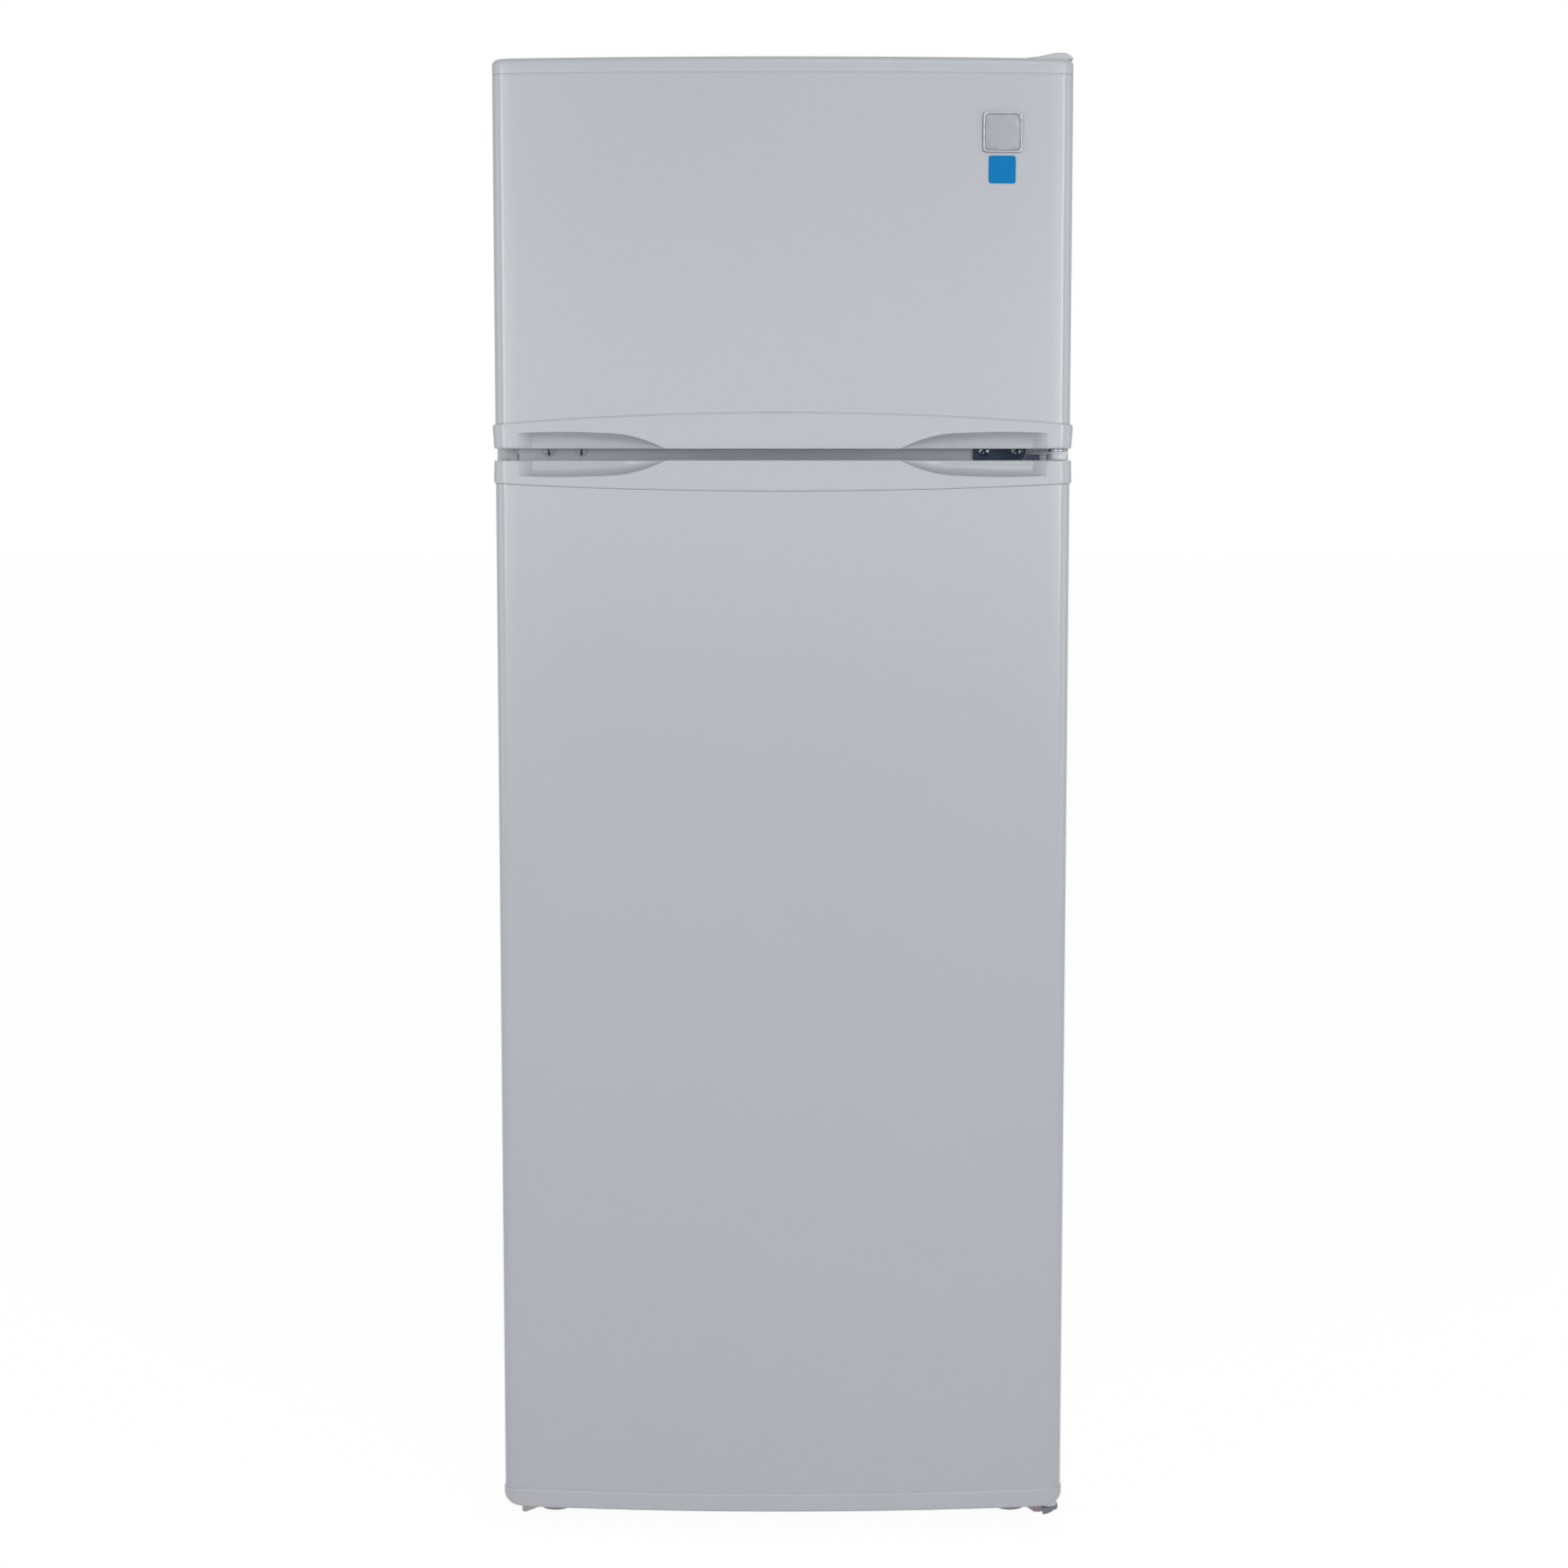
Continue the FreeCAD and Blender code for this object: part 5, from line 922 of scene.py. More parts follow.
def new_tree(name, inputs):
    """A tree with a geometry input, named inputs (name, kind) and a geometry output."""
    tree = bpy.data.node_groups.new(name, "GeometryNodeTree")
    sockets = [("Geometry", "INPUT", "Geometry")]
    sockets += [(label, "INPUT", kind) for label, kind in inputs]
    sockets += [("Geometry", "OUTPUT", "Geometry")]
    for label, way, kind in sockets:
        tree.interface.new_socket(name=label, in_out=way, socket_type="NodeSocket" + kind)
    return tree, tree.nodes.new("NodeGroupInput"), tree.nodes.new("NodeGroupOutput")


def run_tree(tree, carrier, values):
    """Puts the tree on a carrier object and sets its inputs by their identifiers."""
    modifier = carrier.modifiers.new("tree", "NODES")
    modifier.node_group = tree
    for item in tree.interface.items_tree:
        if getattr(item, "in_out", "") == "INPUT" and item.name in values:
            modifier[item.identifier] = values[item.name]
    return carrier


def copies_tree():
    """Copies of an object on every point of the places, turned by one rotation."""
    tree, enter, leave = new_tree("copies_on_places", [
        ("Pattern", "Object"), ("Material", "Material"), ("Scale", "Float"),
        ("Spin Swing", "Float"), ("Seed", "Int")])
    make = tree.nodes.new
    pattern = make("GeometryNodeObjectInfo")
    spread = make("GeometryNodeInstanceOnPoints")
    swing = make("FunctionNodeRandomValue")
    swing.data_type = "FLOAT"
    spin = make("ShaderNodeCombineXYZ")
    turn = make("FunctionNodeEulerToRotation")
    real = make("GeometryNodeRealizeInstances")
    paint = make("GeometryNodeSetMaterial")
    link = tree.links.new
    link(enter.outputs["Pattern"], pattern.inputs["Object"])
    link(enter.outputs["Geometry"], spread.inputs["Points"])
    link(pattern.outputs["Geometry"], spread.inputs["Instance"])
    link(maths(tree, "MULTIPLY", enter.outputs["Spin Swing"], -1.0), swing.inputs[2])
    link(enter.outputs["Spin Swing"], swing.inputs[3])
    link(enter.outputs["Seed"], swing.inputs["Seed"])
    link(swing.outputs[1], spin.inputs["Z"])
    link(spin.outputs[0], turn.inputs[0])
    link(turn.outputs[0], spread.inputs["Rotation"])
    link(enter.outputs["Scale"], spread.inputs["Scale"])
    link(spread.outputs["Instances"], real.inputs["Geometry"])
    link(real.outputs["Geometry"], paint.inputs["Geometry"])
    link(enter.outputs["Material"], paint.inputs["Material"])
    link(paint.outputs["Geometry"], leave.inputs["Geometry"])
    return tree


COPIES = copies_tree()


def spread_copies(name, pattern, points, axis, material, body, replaced=(), swing=0.0,
                  seed=4, scale=1.0):
    """Copies of a small pattern mesh, its z along an axis, on a list of points."""
    tilt = Vector(UP).rotation_difference(Vector(axis)).to_matrix().to_4x4()
    back = tilt.inverted()
    places = bpy.data.meshes.new(name + "_places")
    places.from_pydata([tuple(back @ Vector(p)) for p in points], [], [])
    carrier = bpy.data.objects.new(name + "_carrier", places)
    scene.collection.objects.link(carrier)
    run_tree(COPIES, carrier, {"Pattern": pattern, "Material": material,
                               "Spin Swing": swing, "Seed": seed, "Scale": scale})
    made = as_plain_piece(carrier, name, body, replaced)
    made.data.transform(tilt)
    return made


def pattern_object(name, verts, faces):
    """A small mesh that is only ever seen as copies."""
    mesh = clean_mesh(name, verts, faces, merge=1e-7, dissolve=False)
    mark_sharp(mesh, 35.0)
    return bpy.data.objects.new(name, mesh)


def screw_head(radius, height, recess):
    """A pan head on z = 0: rings of points, sunk where the recess is.

    recess is "cross" for a cross-head screw, "slot" for a plug with one slot.
    """
    rings = [0.0, 0.12, 0.2, 0.3, 0.4, 0.5, 0.58, 0.66, 0.76, 0.86, 0.94, 1.0]
    steps = 48
    turns = [2 * math.pi * (k + 0.5) / steps for k in range(steps)]
    arm = radius * 0.13
    rows = []
    for share in rings:
        row = []
        for turn in turns:
            x = radius * share * math.cos(turn)
            y = radius * share * math.sin(turn)
            z = height * (1.0 - 0.5 * share ** 3)
            if recess == "cross":
                inside = (abs(x) < arm or abs(y) < arm) and share < 0.6
            else:
                inside = abs(x) < arm and share < 0.9
            if inside:
                z -= height * (0.55 if recess == "cross" else 0.8)
            row.append((x, y, z))
        rows.append(row)
    rows.append([(radius * math.cos(turn), radius * math.sin(turn), 0.0)
                 for turn in turns])
    return bridge(rows, closed=True)


CROSS = pattern_object("cross_head", *screw_head(0.0055, 0.0024, "cross"))
SLOTTED = pattern_object("slotted_plug", *screw_head(0.0058, 0.0024, "slot"))
SMALL_CROSS = pattern_object("small_cross_head", *screw_head(0.0036, 0.0016, "cross"))
print("patterns ready")

# %% [markdown]
# ## Screws and plugs
# The lower door hangs between two pins and the upper door between two more. The plate of
# the middle hinge is held by two cross-head screws, with painted shade at the bottom of
# their recesses. The spare holes on the other side are closed by slotted plugs, with
# painted shade in their slots. Each copy is turned a little, by its own random draw.

# %% Screws and plugs
PIN_X = 0.263
PIN_Y = -0.233
SCREW_X = HALF - 0.0781
SCREW_PITCH = 0.0316
FORWARD = (0, -1, 0)
plug_low, plug_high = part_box("hinge_hole_plugs")
plug_z = (plug_low[2] + plug_high[2]) / 2
mullion_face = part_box("mullion_rail")[0][1]
finish("screw_steel_recess_shade", (150, 158, 168), 0.32, grain=0.05, tone=0.1, metallic=0.85)
# Painted shade: the screws' finish turns dark behind a set depth, at the bottom of the
# cross recess and round the foot of the head.
paint_shade(FINISH["screw_steel_recess_shade"], srgb(22, 27, 34),
       [("Y", mullion_face - 0.0044, 0.0, 0.0002)])
screw_y = mullion_face - 0.0030
spread_copies("middle_hinge_screws", CROSS,
              [(x, screw_y, plug_z) for x in (SCREW_X, SCREW_X + SCREW_PITCH)],
              FORWARD, FINISH["screw_steel_recess_shade"], "cabinet", ("hinge_screws",), swing=0.6,
              seed=3)
hinge_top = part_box("top_hinge_bracket")[1][2]
first_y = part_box("cabinet_shell")[0][1] + 0.012
spread_copies("top_hinge_screws", CROSS,
              [(PIN_X - 0.005, first_y + 0.024 * k, hinge_top) for k in range(3)], UP,
              FINISH["hinge_steel"], "cabinet", swing=0.9, seed=8,
              scale=0.8)
finish("plug_plastic_slot_shade", (222, 225, 234), 0.3, grain=0.03, tone=0.04)
# Painted shade: the plugs' finish turns dark behind a set depth, in the bottom of each slot
# and round the plug's foot.
paint_shade(FINISH["plug_plastic_slot_shade"], srgb(30, 34, 44),
       [("Y", plug_high[1] - 0.00105, 0.0, 0.0002)])
spread_copies("mullion_plugs", SLOTTED,
              [(x, plug_high[1], plug_z) for x in (-SCREW_X, -SCREW_X - SCREW_PITCH)],
              FORWARD, FINISH["plug_plastic_slot_shade"], "cabinet", ("hinge_hole_plugs",),
              swing=0.12, seed=5)
print("screws from", round(SCREW_X, 4), "every", SCREW_PITCH)

# %% [markdown]
# ## Washer and bushes
# A bright washer lies on the arm of the middle hinge, and a plastic bush stands on each of
# the two lower pins. All three have a hole, so their outlines are closed loops.

# %% Washer and bushes
BORE = 0.0036


def bored_ring(radius, low, high, edge):
    """The closed outline of a ring with its outer edges broken."""
    return [(BORE, low), (radius - edge, low), (radius, low + edge), (radius, high - edge),
            (radius - edge, high), (BORE, high), (BORE, low)]


washer_low, washer_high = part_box("middle_hinge_washer")
spacer_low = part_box("hinge_spacers")[0]
arm_middle = (Z_SPLIT + Z_FREEZER) / 2
bush = [(BORE, Z_SPLIT + 0.0003), (0.0064, Z_SPLIT + 0.0003), (0.0071, Z_SPLIT + 0.0009),
        (0.0078, arm_middle - 0.0010), (0.0074, arm_middle), (BORE, arm_middle),
        (BORE, Z_SPLIT + 0.0003)]
for name, outline, material, replaced, slot in (
        ("middle_washer", bored_ring(0.0093, washer_low[2], washer_high[2], 0.0004),
         "bright_steel", ("middle_hinge_washer",), "bright_steel"),
        ("middle_spacer", bush, "bush_plastic_painted_light", ("hinge_spacers",), "trim_plastic"),
        ("bottom_spacer", bored_ring(0.0075, spacer_low[2], Z_FOOT - 0.0003, 0.0006),
         "trim_plastic", (), "trim_plastic")):
    turned(name, outline, (PIN_X, PIN_Y, 0.0), UP, FINISH[material], "cabinet", replaced,
           steps=48, slot=slot, hollow=True)
print("bush from", round(Z_SPLIT + 0.0003, 4), "to", round(arm_middle, 4))

# %% [markdown]
# ## The middle and the bottom hinge
# The middle hinge shows three tones: a dark plate on the mullion, a paler root where the
# arm leaves it, and an arm that reaches forward to a round end about the pin. The arm is
# zinc; its finish is near white and not metallic, painted light in the shaded gap, and the
# root's steel is darkened with painted shade under the arm.
# The bottom hinge is one plate with a web in front, and a plug closes the spare pin hole
# of the lower door.

# %% Middle and bottom hinge
ARM_RADIUS = 0.009
PIN_RADIUS = 0.0035
round_end = [(PIN_X - ARM_RADIUS * math.cos(k / 16 * math.pi),
              PIN_Y - ARM_RADIUS * math.sin(k / 16 * math.pi)) for k in range(17)]


def pin(low, high):
    """The hinge pin between two heights."""
    ring = [(PIN_X + PIN_RADIUS * math.cos(k / 12 * math.pi),
             PIN_Y + PIN_RADIUS * math.sin(k / 12 * math.pi)) for k in range(24)]
    return prism(ring, low, high, "z")


plate_outline = [(0.1838, 1.0452), (0.2260, 1.0452), (0.2296, 1.0515), (0.2322, 1.0550),
                 (0.2340, 1.0590), (0.2346, 1.0630), (0.2342, 1.0708), (0.1838, 1.0708)]
moulded("middle_hinge_plate", [prism(plate_outline, -0.2002, -0.1984)],
        FINISH["hinge_steel"], "cabinet", ("middle_hinge_bracket",), round_by=0.0004,
        segments=2)
root_outline = [(0.2270, 1.0452), (0.2480, 1.0452), (0.2480, 1.0582), (0.2270, 1.0582)]
moulded("middle_hinge_root", [prism(root_outline, -0.1992, -0.1973)],
        FINISH["root_steel_painted_shade"], "cabinet", round_by=0.0003, segments=2)
arm_outline = [(0.2340, -0.1987)] + round_end + [(0.2720, -0.1987)]
moulded("middle_hinge_arm", [prism(arm_outline, Z_SPLIT + 0.0055, Z_SPLIT + 0.0085, "z"),
                             pin(1.0395, 1.0765)],
        FINISH["arm_painted_light"], "cabinet", round_by=0.0003, segments=2)
leaf_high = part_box("bottom_hinge_bracket")[1]
leaf_outline = [(0.2050, leaf_high[1]), (0.2050, -0.1932), (0.2540, -0.2062)]
leaf_outline += round_end + [(0.2720, leaf_high[1])]
web_outline = [(0.2596, 0.0240), (0.2596, 0.0046), (0.2640, 0.0052), (0.2690, 0.0074),
               (0.2712, 0.0104), (0.2720, 0.0150), (0.2720, 0.0240)]
moulded("bottom_hinge_form", [prism(leaf_outline, 0.0210, 0.0240, "z"),
                              prism(web_outline, -0.2062, -0.2032),
                              pin(0.0212, leaf_high[2])],
        FINISH["arm_steel"], "cabinet", ("bottom_hinge_bracket",), round_by=0.0004,
        segments=2)
turned("door_hole_plug", [(0.0046, 0.0), (0.0050, 0.0003), (0.0050, 0.0008),
                          (0.0045, 0.0013), (0.0030, 0.0016), (0.0008, 0.0017)],
       (-0.2652, PIN_Y, Z_SPLIT), UP, FINISH["trim_plastic"], "fresh_door", steps=32,
       slot="trim_plastic")
print("arm between", round(Z_SPLIT + 0.0055, 4), "and", round(Z_SPLIT + 0.0085, 4))

# %% [markdown]
# ## The hood over the top hinge
# A moulded hood covers the top hinge. Its outline runs from a thin edge up to a flat top
# over the pin, and the piece is smoothed as a whole.

# %% Hood of the top hinge
cover_low, cover_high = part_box("top_hinge_cover")
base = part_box("cabinet_shell")[1][2]
peak = cover_high[2]
left = cover_low[0]
right = cover_high[0]
hood = [(left, base + 0.0002), (left + 0.004, base + 0.0022),
        (PIN_X - 0.022, peak - 0.0040), (PIN_X - 0.009, peak - 0.0004),
        (PIN_X - 0.004, peak), (right - 0.0095, peak), (right - 0.0045, peak - 0.0010),
        (right - 0.0010, peak - 0.0042), (right, peak - 0.0070), (right, base + 0.0002)]


def hood_rows():
    """The hood's outline from front to back, smaller at both ends for a soft edge."""
    rows = []
    y0, y1 = cover_low[1], cover_high[1]
    stations = [(0.0, 0.62), (0.0006, 0.80), (0.0018, 0.93), (0.0036, 1.0)]
    stations = ([(y0 + d, s) for d, s in stations]
                + [(y1 - d, s) for d, s in reversed(stations)])
    for y, share in stations:
        rows.append([(right + (x - right) * (0.9 + 0.1 * share), y,
                      base + (z - base) * share) for x, z in hood])
    return rows


verts, faces = bridge(hood_rows(), closed=True)
faces += end_faces(verts, len(hood))
hood_piece = piece_from("hinge_hood", verts, faces, FINISH["hood_plastic"], "cabinet",
                        ("top_hinge_cover",))
rounding = hood_piece.modifiers.new("round_form", "SUBSURF")
rounding.levels = rounding.render_levels = 2
print("hood up to", round(peak, 4))

# %% [markdown]
# ## Plate and label
# A square plate sits high on the freezer door: a bright rim round a plain field, and under
# it a plain square label. Both are bare here. Each lies on the bow, so its corners are
# placed by the bow's own rule.

# %% Plate and label
plate_low, plate_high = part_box("badge_plate")
plate_x = HALF - 0.0675
plate_z = (plate_low[2] + plate_high[2]) / 2
plate_half = 0.0187


def on_bow(x, z, lift):
    """A point a little in front of the bowed face."""
    lean = math.asin(x / BOW)
    return (x + lift * math.sin(lean), bow_y(x) - lift * math.cos(lean), z)


def square_on_bow(centre_x, centre_z, half, lifts, shares, steps=48, power=1.0 / 6.0):
    """Rings of a rounded square, each with its own share of the size and its own lift."""
    rows = []
    for share, lift in zip(shares, lifts):
        row = []
        for k in range(steps):
            turn = 2 * math.pi * k / steps
            c, s = math.cos(turn), math.sin(turn)
            dx = math.copysign(abs(c) ** power, c) * half * share
            dz = math.copysign(abs(s) ** power, s) * half * share
            row.append(on_bow(centre_x + dx, centre_z + dz, lift))
        rows.append(row)
    verts, faces = bridge(rows, closed=True)
    faces.append(end_faces(verts, steps)[1])
    return verts, faces


verts, faces = square_on_bow(plate_x, plate_z, plate_half,
                             (0.0001, 0.0017, 0.0024, 0.0026, 0.0024, 0.0016, 0.0014),
                             (1.0, 1.0, 0.985, 0.955, 0.91, 0.885, 0.87))
finish("rim_steel", (148, 151, 158), 0.3, grain=0.03, tone=0.05, metallic=0.9)
piece_from("plate_rim", verts, faces, FINISH["rim_steel"], "freezer_door",
           ("badge_plate",))
verts, faces = square_on_bow(plate_x, plate_z, plate_half, (0.0013, 0.0016, 0.00165),
                             (0.885, 0.865, 0.6))
finish("plate_field", (158, 160, 167), 0.4, grain=0.008, fine=500.0, metallic=0.2)
piece_from("plate_field", verts, faces, FINISH["plate_field"], "freezer_door")
finish("label_blue", (8, 126, 192), 0.7, grain=0.02, fine=900.0, tone=0.05, ior=1.25)
verts, faces = square_on_bow(plate_x, plate_z - 0.0343, 0.0129, (0.0001, 0.0004, 0.0004),
                             (1.0, 0.99, 0.5))
piece_from("plain_label", verts, faces, FINISH["label_blue"], "freezer_door")
print("plate at", round(plate_x, 4), round(plate_z, 4))

# %% [markdown]
# ## Sealing strips
# Each door carries a soft frame that folds like a bellows between the door and the
# cabinet. Its cross-section is a short list of points. The section is carried once round a
# rectangle with rounded corners, so that the folds stay even at the corners.

# %% Door seals
def loop_line(half, low, high, radius, steps=8):
    """A rounded rectangle in x and z; each point comes with its outward direction."""
    line = []
    for cx, cz, start in ((half - radius, high - radius, 0.0),
                          (-half + radius, high - radius, 90.0),
                          (-half + radius, low + radius, 180.0),
                          (half - radius, low + radius, 270.0)):
        for k in range(steps + 1):
            turn = math.radians(start + 90.0 * k / steps)
            line.append((cx + radius * math.cos(turn), cz + radius * math.sin(turn),
                         math.cos(turn), math.sin(turn)))
    return line


wide = 0.016
for door in ("freezer", "fresh"):
    low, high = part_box(door + "_door_gasket")
    y0, y1 = low[1], high[1]
    deep = y1 - y0
    section = [(0.0012, y0), (0.0, y0 + 0.0014), (0.0, y0 + deep * 0.22),
               (0.0034, y0 + deep * 0.34), (0.0034, y0 + deep * 0.42),
               (0.0006, y0 + deep * 0.54), (0.0006, y0 + deep * 0.62),
               (0.0030, y0 + deep * 0.72), (0.0, y0 + deep * 0.82), (0.0, y1 - 0.0010),
               (0.0012, y1), (wide - 0.0012, y1), (wide, y1 - 0.0010),
               (wide, y0 + deep * 0.82), (wide - 0.0034, y0 + deep * 0.70),
               (wide - 0.0004, y0 + deep * 0.56), (wide - 0.0030, y0 + deep * 0.40),
               (wide, y0 + deep * 0.22), (wide, y0)]
    line = loop_line(high[0], low[2], high[2], 0.009)
    rows = [[(x - ox * inset, y, z - oz * inset) for x, z, ox, oz in line]
            for inset, y in section]
    verts, faces = bridge(rows + rows[:1], closed=True)
    piece_from(door + "_seal", verts, faces, FINISH["gasket_rubber"], door + "_door",
               (door + "_door_gasket",))
print("seal section of", len(section), "points")

# %% [markdown]
# ## The cabinet's wrap
# The painted sheet goes up one side, across the top and down the other side. It turns over
# the upper corners with a small radius and folds inwards at the front, where the seals
# close against it.

# %% Cabinet wrap
shell_low, shell_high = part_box("cabinet_shell")
gauge = 0.0007
corner_radius = 0.0018
front_fold = 0.0195


def wrap_line(inset):
    """The wrap's outline in x and z from the left foot over the top to the right foot."""
    half = shell_high[0] - inset
    top_z = shell_high[2] - inset
    radius = max(corner_radius - inset, 0.0004)
    line = [(-half, shell_low[2])]
    line += [(-half + radius - radius * math.cos(k / 8 * math.pi / 2),
              top_z - radius + radius * math.sin(k / 8 * math.pi / 2)) for k in range(9)]
    line += [(half - radius + radius * math.sin(k / 8 * math.pi / 2),
              top_z - radius + radius * math.cos(k / 8 * math.pi / 2)) for k in range(9)]
    line.append((half, shell_low[2]))
    return line


def wrap_rows():
    """Rows from the rear edge forward, over a soft front fold and back inwards."""
    y0, y1 = shell_low[1], shell_high[1]
    bend = 0.0022
    stations = [(0.0, y1), (0.0, y0 + bend)]
    stations += [(bend * (1 - math.cos(k / 5 * math.pi / 2)),
                  y0 + bend * (1 - math.sin(k / 5 * math.pi / 2))) for k in range(1, 6)]
    stations += [(front_fold, y0), (front_fold, y0 + gauge), (bend + 0.0004, y0 + gauge),
                 (gauge, y0 + bend + 0.0006), (gauge, y1)]
    return [[(x, y, z) for x, z in wrap_line(inset)] for inset, y in stations]


rows = wrap_rows()
verts, faces = bridge(rows + rows[:1])
count = len(rows[0])
for end in (0, count - 1):
    faces.append(tuple(k * count + end for k in range(len(rows))))
wrap = piece_from("cabinet_wrap", verts, faces, FINISH["cabinet_paint"], "cabinet",
                  ("cabinet_shell",))
print("wrap", len(wrap.data.polygons), "faces")

# %% [markdown]
# ## Feet, rollers and corner tabs
# Two turned feet screw up into brackets at the front and two rollers carry the back. A
# small wedge closes each front corner under the cabinet.

# %% Feet, rollers and tabs
ALONG_X = (1, 0, 0)
ALONG_Y = (0, 1, 0)
for side in ("left", "right"):
    node = side + "_levelling_foot"
    low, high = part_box(node)
    x = (low[0] + high[0]) / 2
    y = (low[1] + high[1]) / 2
    r = (high[0] - low[0]) / 2
    outline = [(r - 0.0006, 0.0), (r - 0.0001, 0.0003), (r, 0.0010), (r, 0.0052),
               (r - 0.0007, 0.0064), (r - 0.0020, 0.0070), (0.0078, 0.0070),
               (0.0072, 0.0074), (0.0066, 0.0098), (0.0042, 0.0100)]
    z = 0.0104
    stem = 0.0039
    thread_pitch = 0.0013
    while z < high[2] - 0.0014:
        outline += [(stem, z), (stem - 0.0006, z + 0.0006)]
        z += thread_pitch
    outline += [(stem, z), (stem - 0.0008, high[2])]
    turned(side + "_foot", outline, (x, y, 0.0), UP, FINISH["foot_plastic"],
           node + "_body", (node,), steps=48, slot="foot_plastic")
    node = side + "_rear_roller"
    low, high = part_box(node)
    y = (low[1] + high[1]) / 2
    r = (high[2] - low[2]) / 2
    width = high[0] - low[0]
    wheel = [(0.0034, 0.0), (0.0060, 0.0), (0.0064, 0.0016), (0.0118, 0.0016),
             (0.0122, 0.0), (r - 0.0012, 0.0), (r, 0.0014), (r, width - 0.0014),
             (r - 0.0012, width), (0.0122, width), (0.0118, width - 0.0016),
             (0.0064, width - 0.0016), (0.0060, width), (0.0034, width), (0.0034, 0.0)]
    turned(side + "_roller", wheel, (low[0], y, r), ALONG_X, FINISH["black_plastic"],
           node + "_body", (node,), steps=48, slot="black_plastic", hollow=True)
wedge_low, wedge_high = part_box("front_corner_blocks")
outer = wedge_high[0]
top_z = wedge_high[2]
tabs = []
for side, knee in ((-1.0, 0.0), (1.0, 0.0060)):
    points = [(outer - 0.0175, top_z), (outer - 0.0175, wedge_low[2] + 0.0056),
              (outer - 0.003 - knee, wedge_low[2]), (outer - 0.003, wedge_low[2]),
              (outer, wedge_low[2] + 0.001), (outer, top_z)]
    tabs.append(prism([(side * a, b) for a, b in points], wedge_low[1], wedge_high[1]))
moulded("corner_tabs", tabs, FINISH["foot_plastic"], "cabinet", ("front_corner_blocks",),
        round_by=0.0006, segments=2)
print("corner tabs to", round(outer, 4))

# %% [markdown]
# ## The machine at the back
# A long tube winds down the back between welded wires. Below it stands the sealed pump
# with its tray, and a small copper filter joins the last run to the pipes. All round tubes
# come from one tree: a line of corner places is rounded by a fillet and given a round
# section.

# %% Round tubes by Geometry Nodes
def tube_tree():
    """A round section carried along a line whose corners are rounded by a fillet."""
    tree, enter, leave = new_tree("round_tube", [
        ("Tube Radius", "Float"), ("Bend Radius", "Float"), ("Bend Steps", "Int"),
        ("Round Steps", "Int"), ("Material", "Material")])
    make = tree.nodes.new
    line = make("GeometryNodeMeshToCurve")
    bend = make("GeometryNodeFilletCurve")
    ring = make("GeometryNodeCurvePrimitiveCircle")
    body = make("GeometryNodeCurveToMesh")
    body.inputs["Fill Caps"].default_value = True
    smooth = make("GeometryNodeSetShadeSmooth")
    paint = make("GeometryNodeSetMaterial")
    link = tree.links.new
    mode = bend.inputs.get("Mode")
    if mode is not None:
        mode.default_value = "Poly"
    else:
        bend.mode = "POLY"
    link(enter.outputs["Geometry"], line.inputs["Mesh"])
    link(line.outputs["Curve"], bend.inputs["Curve"])
    link(enter.outputs["Bend Radius"], bend.inputs["Radius"])
    link(enter.outputs["Bend Steps"], bend.inputs["Count"])
    link(enter.outputs["Round Steps"], ring.inputs["Resolution"])
    link(enter.outputs["Tube Radius"], ring.inputs["Radius"])
    link(bend.outputs["Curve"], body.inputs["Curve"])
    link(ring.outputs["Curve"], body.inputs["Profile Curve"])
    link(body.outputs["Mesh"], smooth.inputs[0])
    link(smooth.outputs[0], paint.inputs["Geometry"])
    link(enter.outputs["Material"], paint.inputs["Material"])
    link(paint.outputs["Geometry"], leave.inputs["Geometry"])
    return tree


TUBE = tube_tree()


def tube_piece(name, runs, radius, bend, material, body, replaced=(), steps=8,
               sides=12):
    """Round tubes along one or more lists of corner places."""
    verts, edges = [], []
    for run in runs:
        start = len(verts)
        verts += [tuple(p) for p in run]
        edges += [(start + k, start + k + 1) for k in range(len(run) - 1)]
    mesh = bpy.data.meshes.new(name + "_line")
    mesh.from_pydata(verts, edges, [])
    carrier = bpy.data.objects.new(name + "_carrier", mesh)
    scene.collection.objects.link(carrier)
    run_tree(TUBE, carrier, {"Tube Radius": radius, "Bend Radius": bend,
                             "Bend Steps": steps, "Round Steps": sides,
                             "Material": material})
    made = as_plain_piece(carrier, name, body, replaced)
    work = bmesh.new()
    work.from_mesh(made.data)
    bmesh.ops.recalc_face_normals(work, faces=work.faces)
    work.to_mesh(made.data)
    work.free()
    mark_sharp(made.data, 50.0)
    return made


print("tube tree with", len(TUBE.nodes), "nodes")

# %% [markdown]
# The coil is one list of corner places that runs to and fro, with bends a little under
# half its pitch. The wires are twenty short lines behind it, welded to every run.

# %% Coil and its wires
coil_low, coil_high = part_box("condenser_coil")
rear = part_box("back_panel")[1][1]
coil_y = rear + 0.011
coil_start = 0.330
coil_pitch = 0.084
coil_half = 0.200
places = []
for number in range(11):
    z = coil_start + number * coil_pitch
    ends = [(-coil_half, coil_y, z), (coil_half, coil_y, z)]
    places += ends if number % 2 == 0 else list(reversed(ends))
tube_piece("condenser_tube", [places], 0.0025, 0.0418, FINISH["black_metal"], "cabinet",
           ("condenser_coil",), steps=12)
wires = [[((k - 9.5) * 0.019, coil_y + 0.0033, z) for z in (0.318, 1.182)]
         for k in range(20)]
tube_piece("condenser_wires", wires, 0.0008, 0.0, FINISH["black_metal"], "cabinet",
           sides=8)
print("coil", [round(v, 4) for v in coil_low], [round(v, 4) for v in coil_high])

# %% [markdown]
# ## The pump and what stands round it
# The sealed pump is an oval steel shell welded at its middle. It stands on a foot plate
# with rubber grommets, and a relay box sits on its flank.

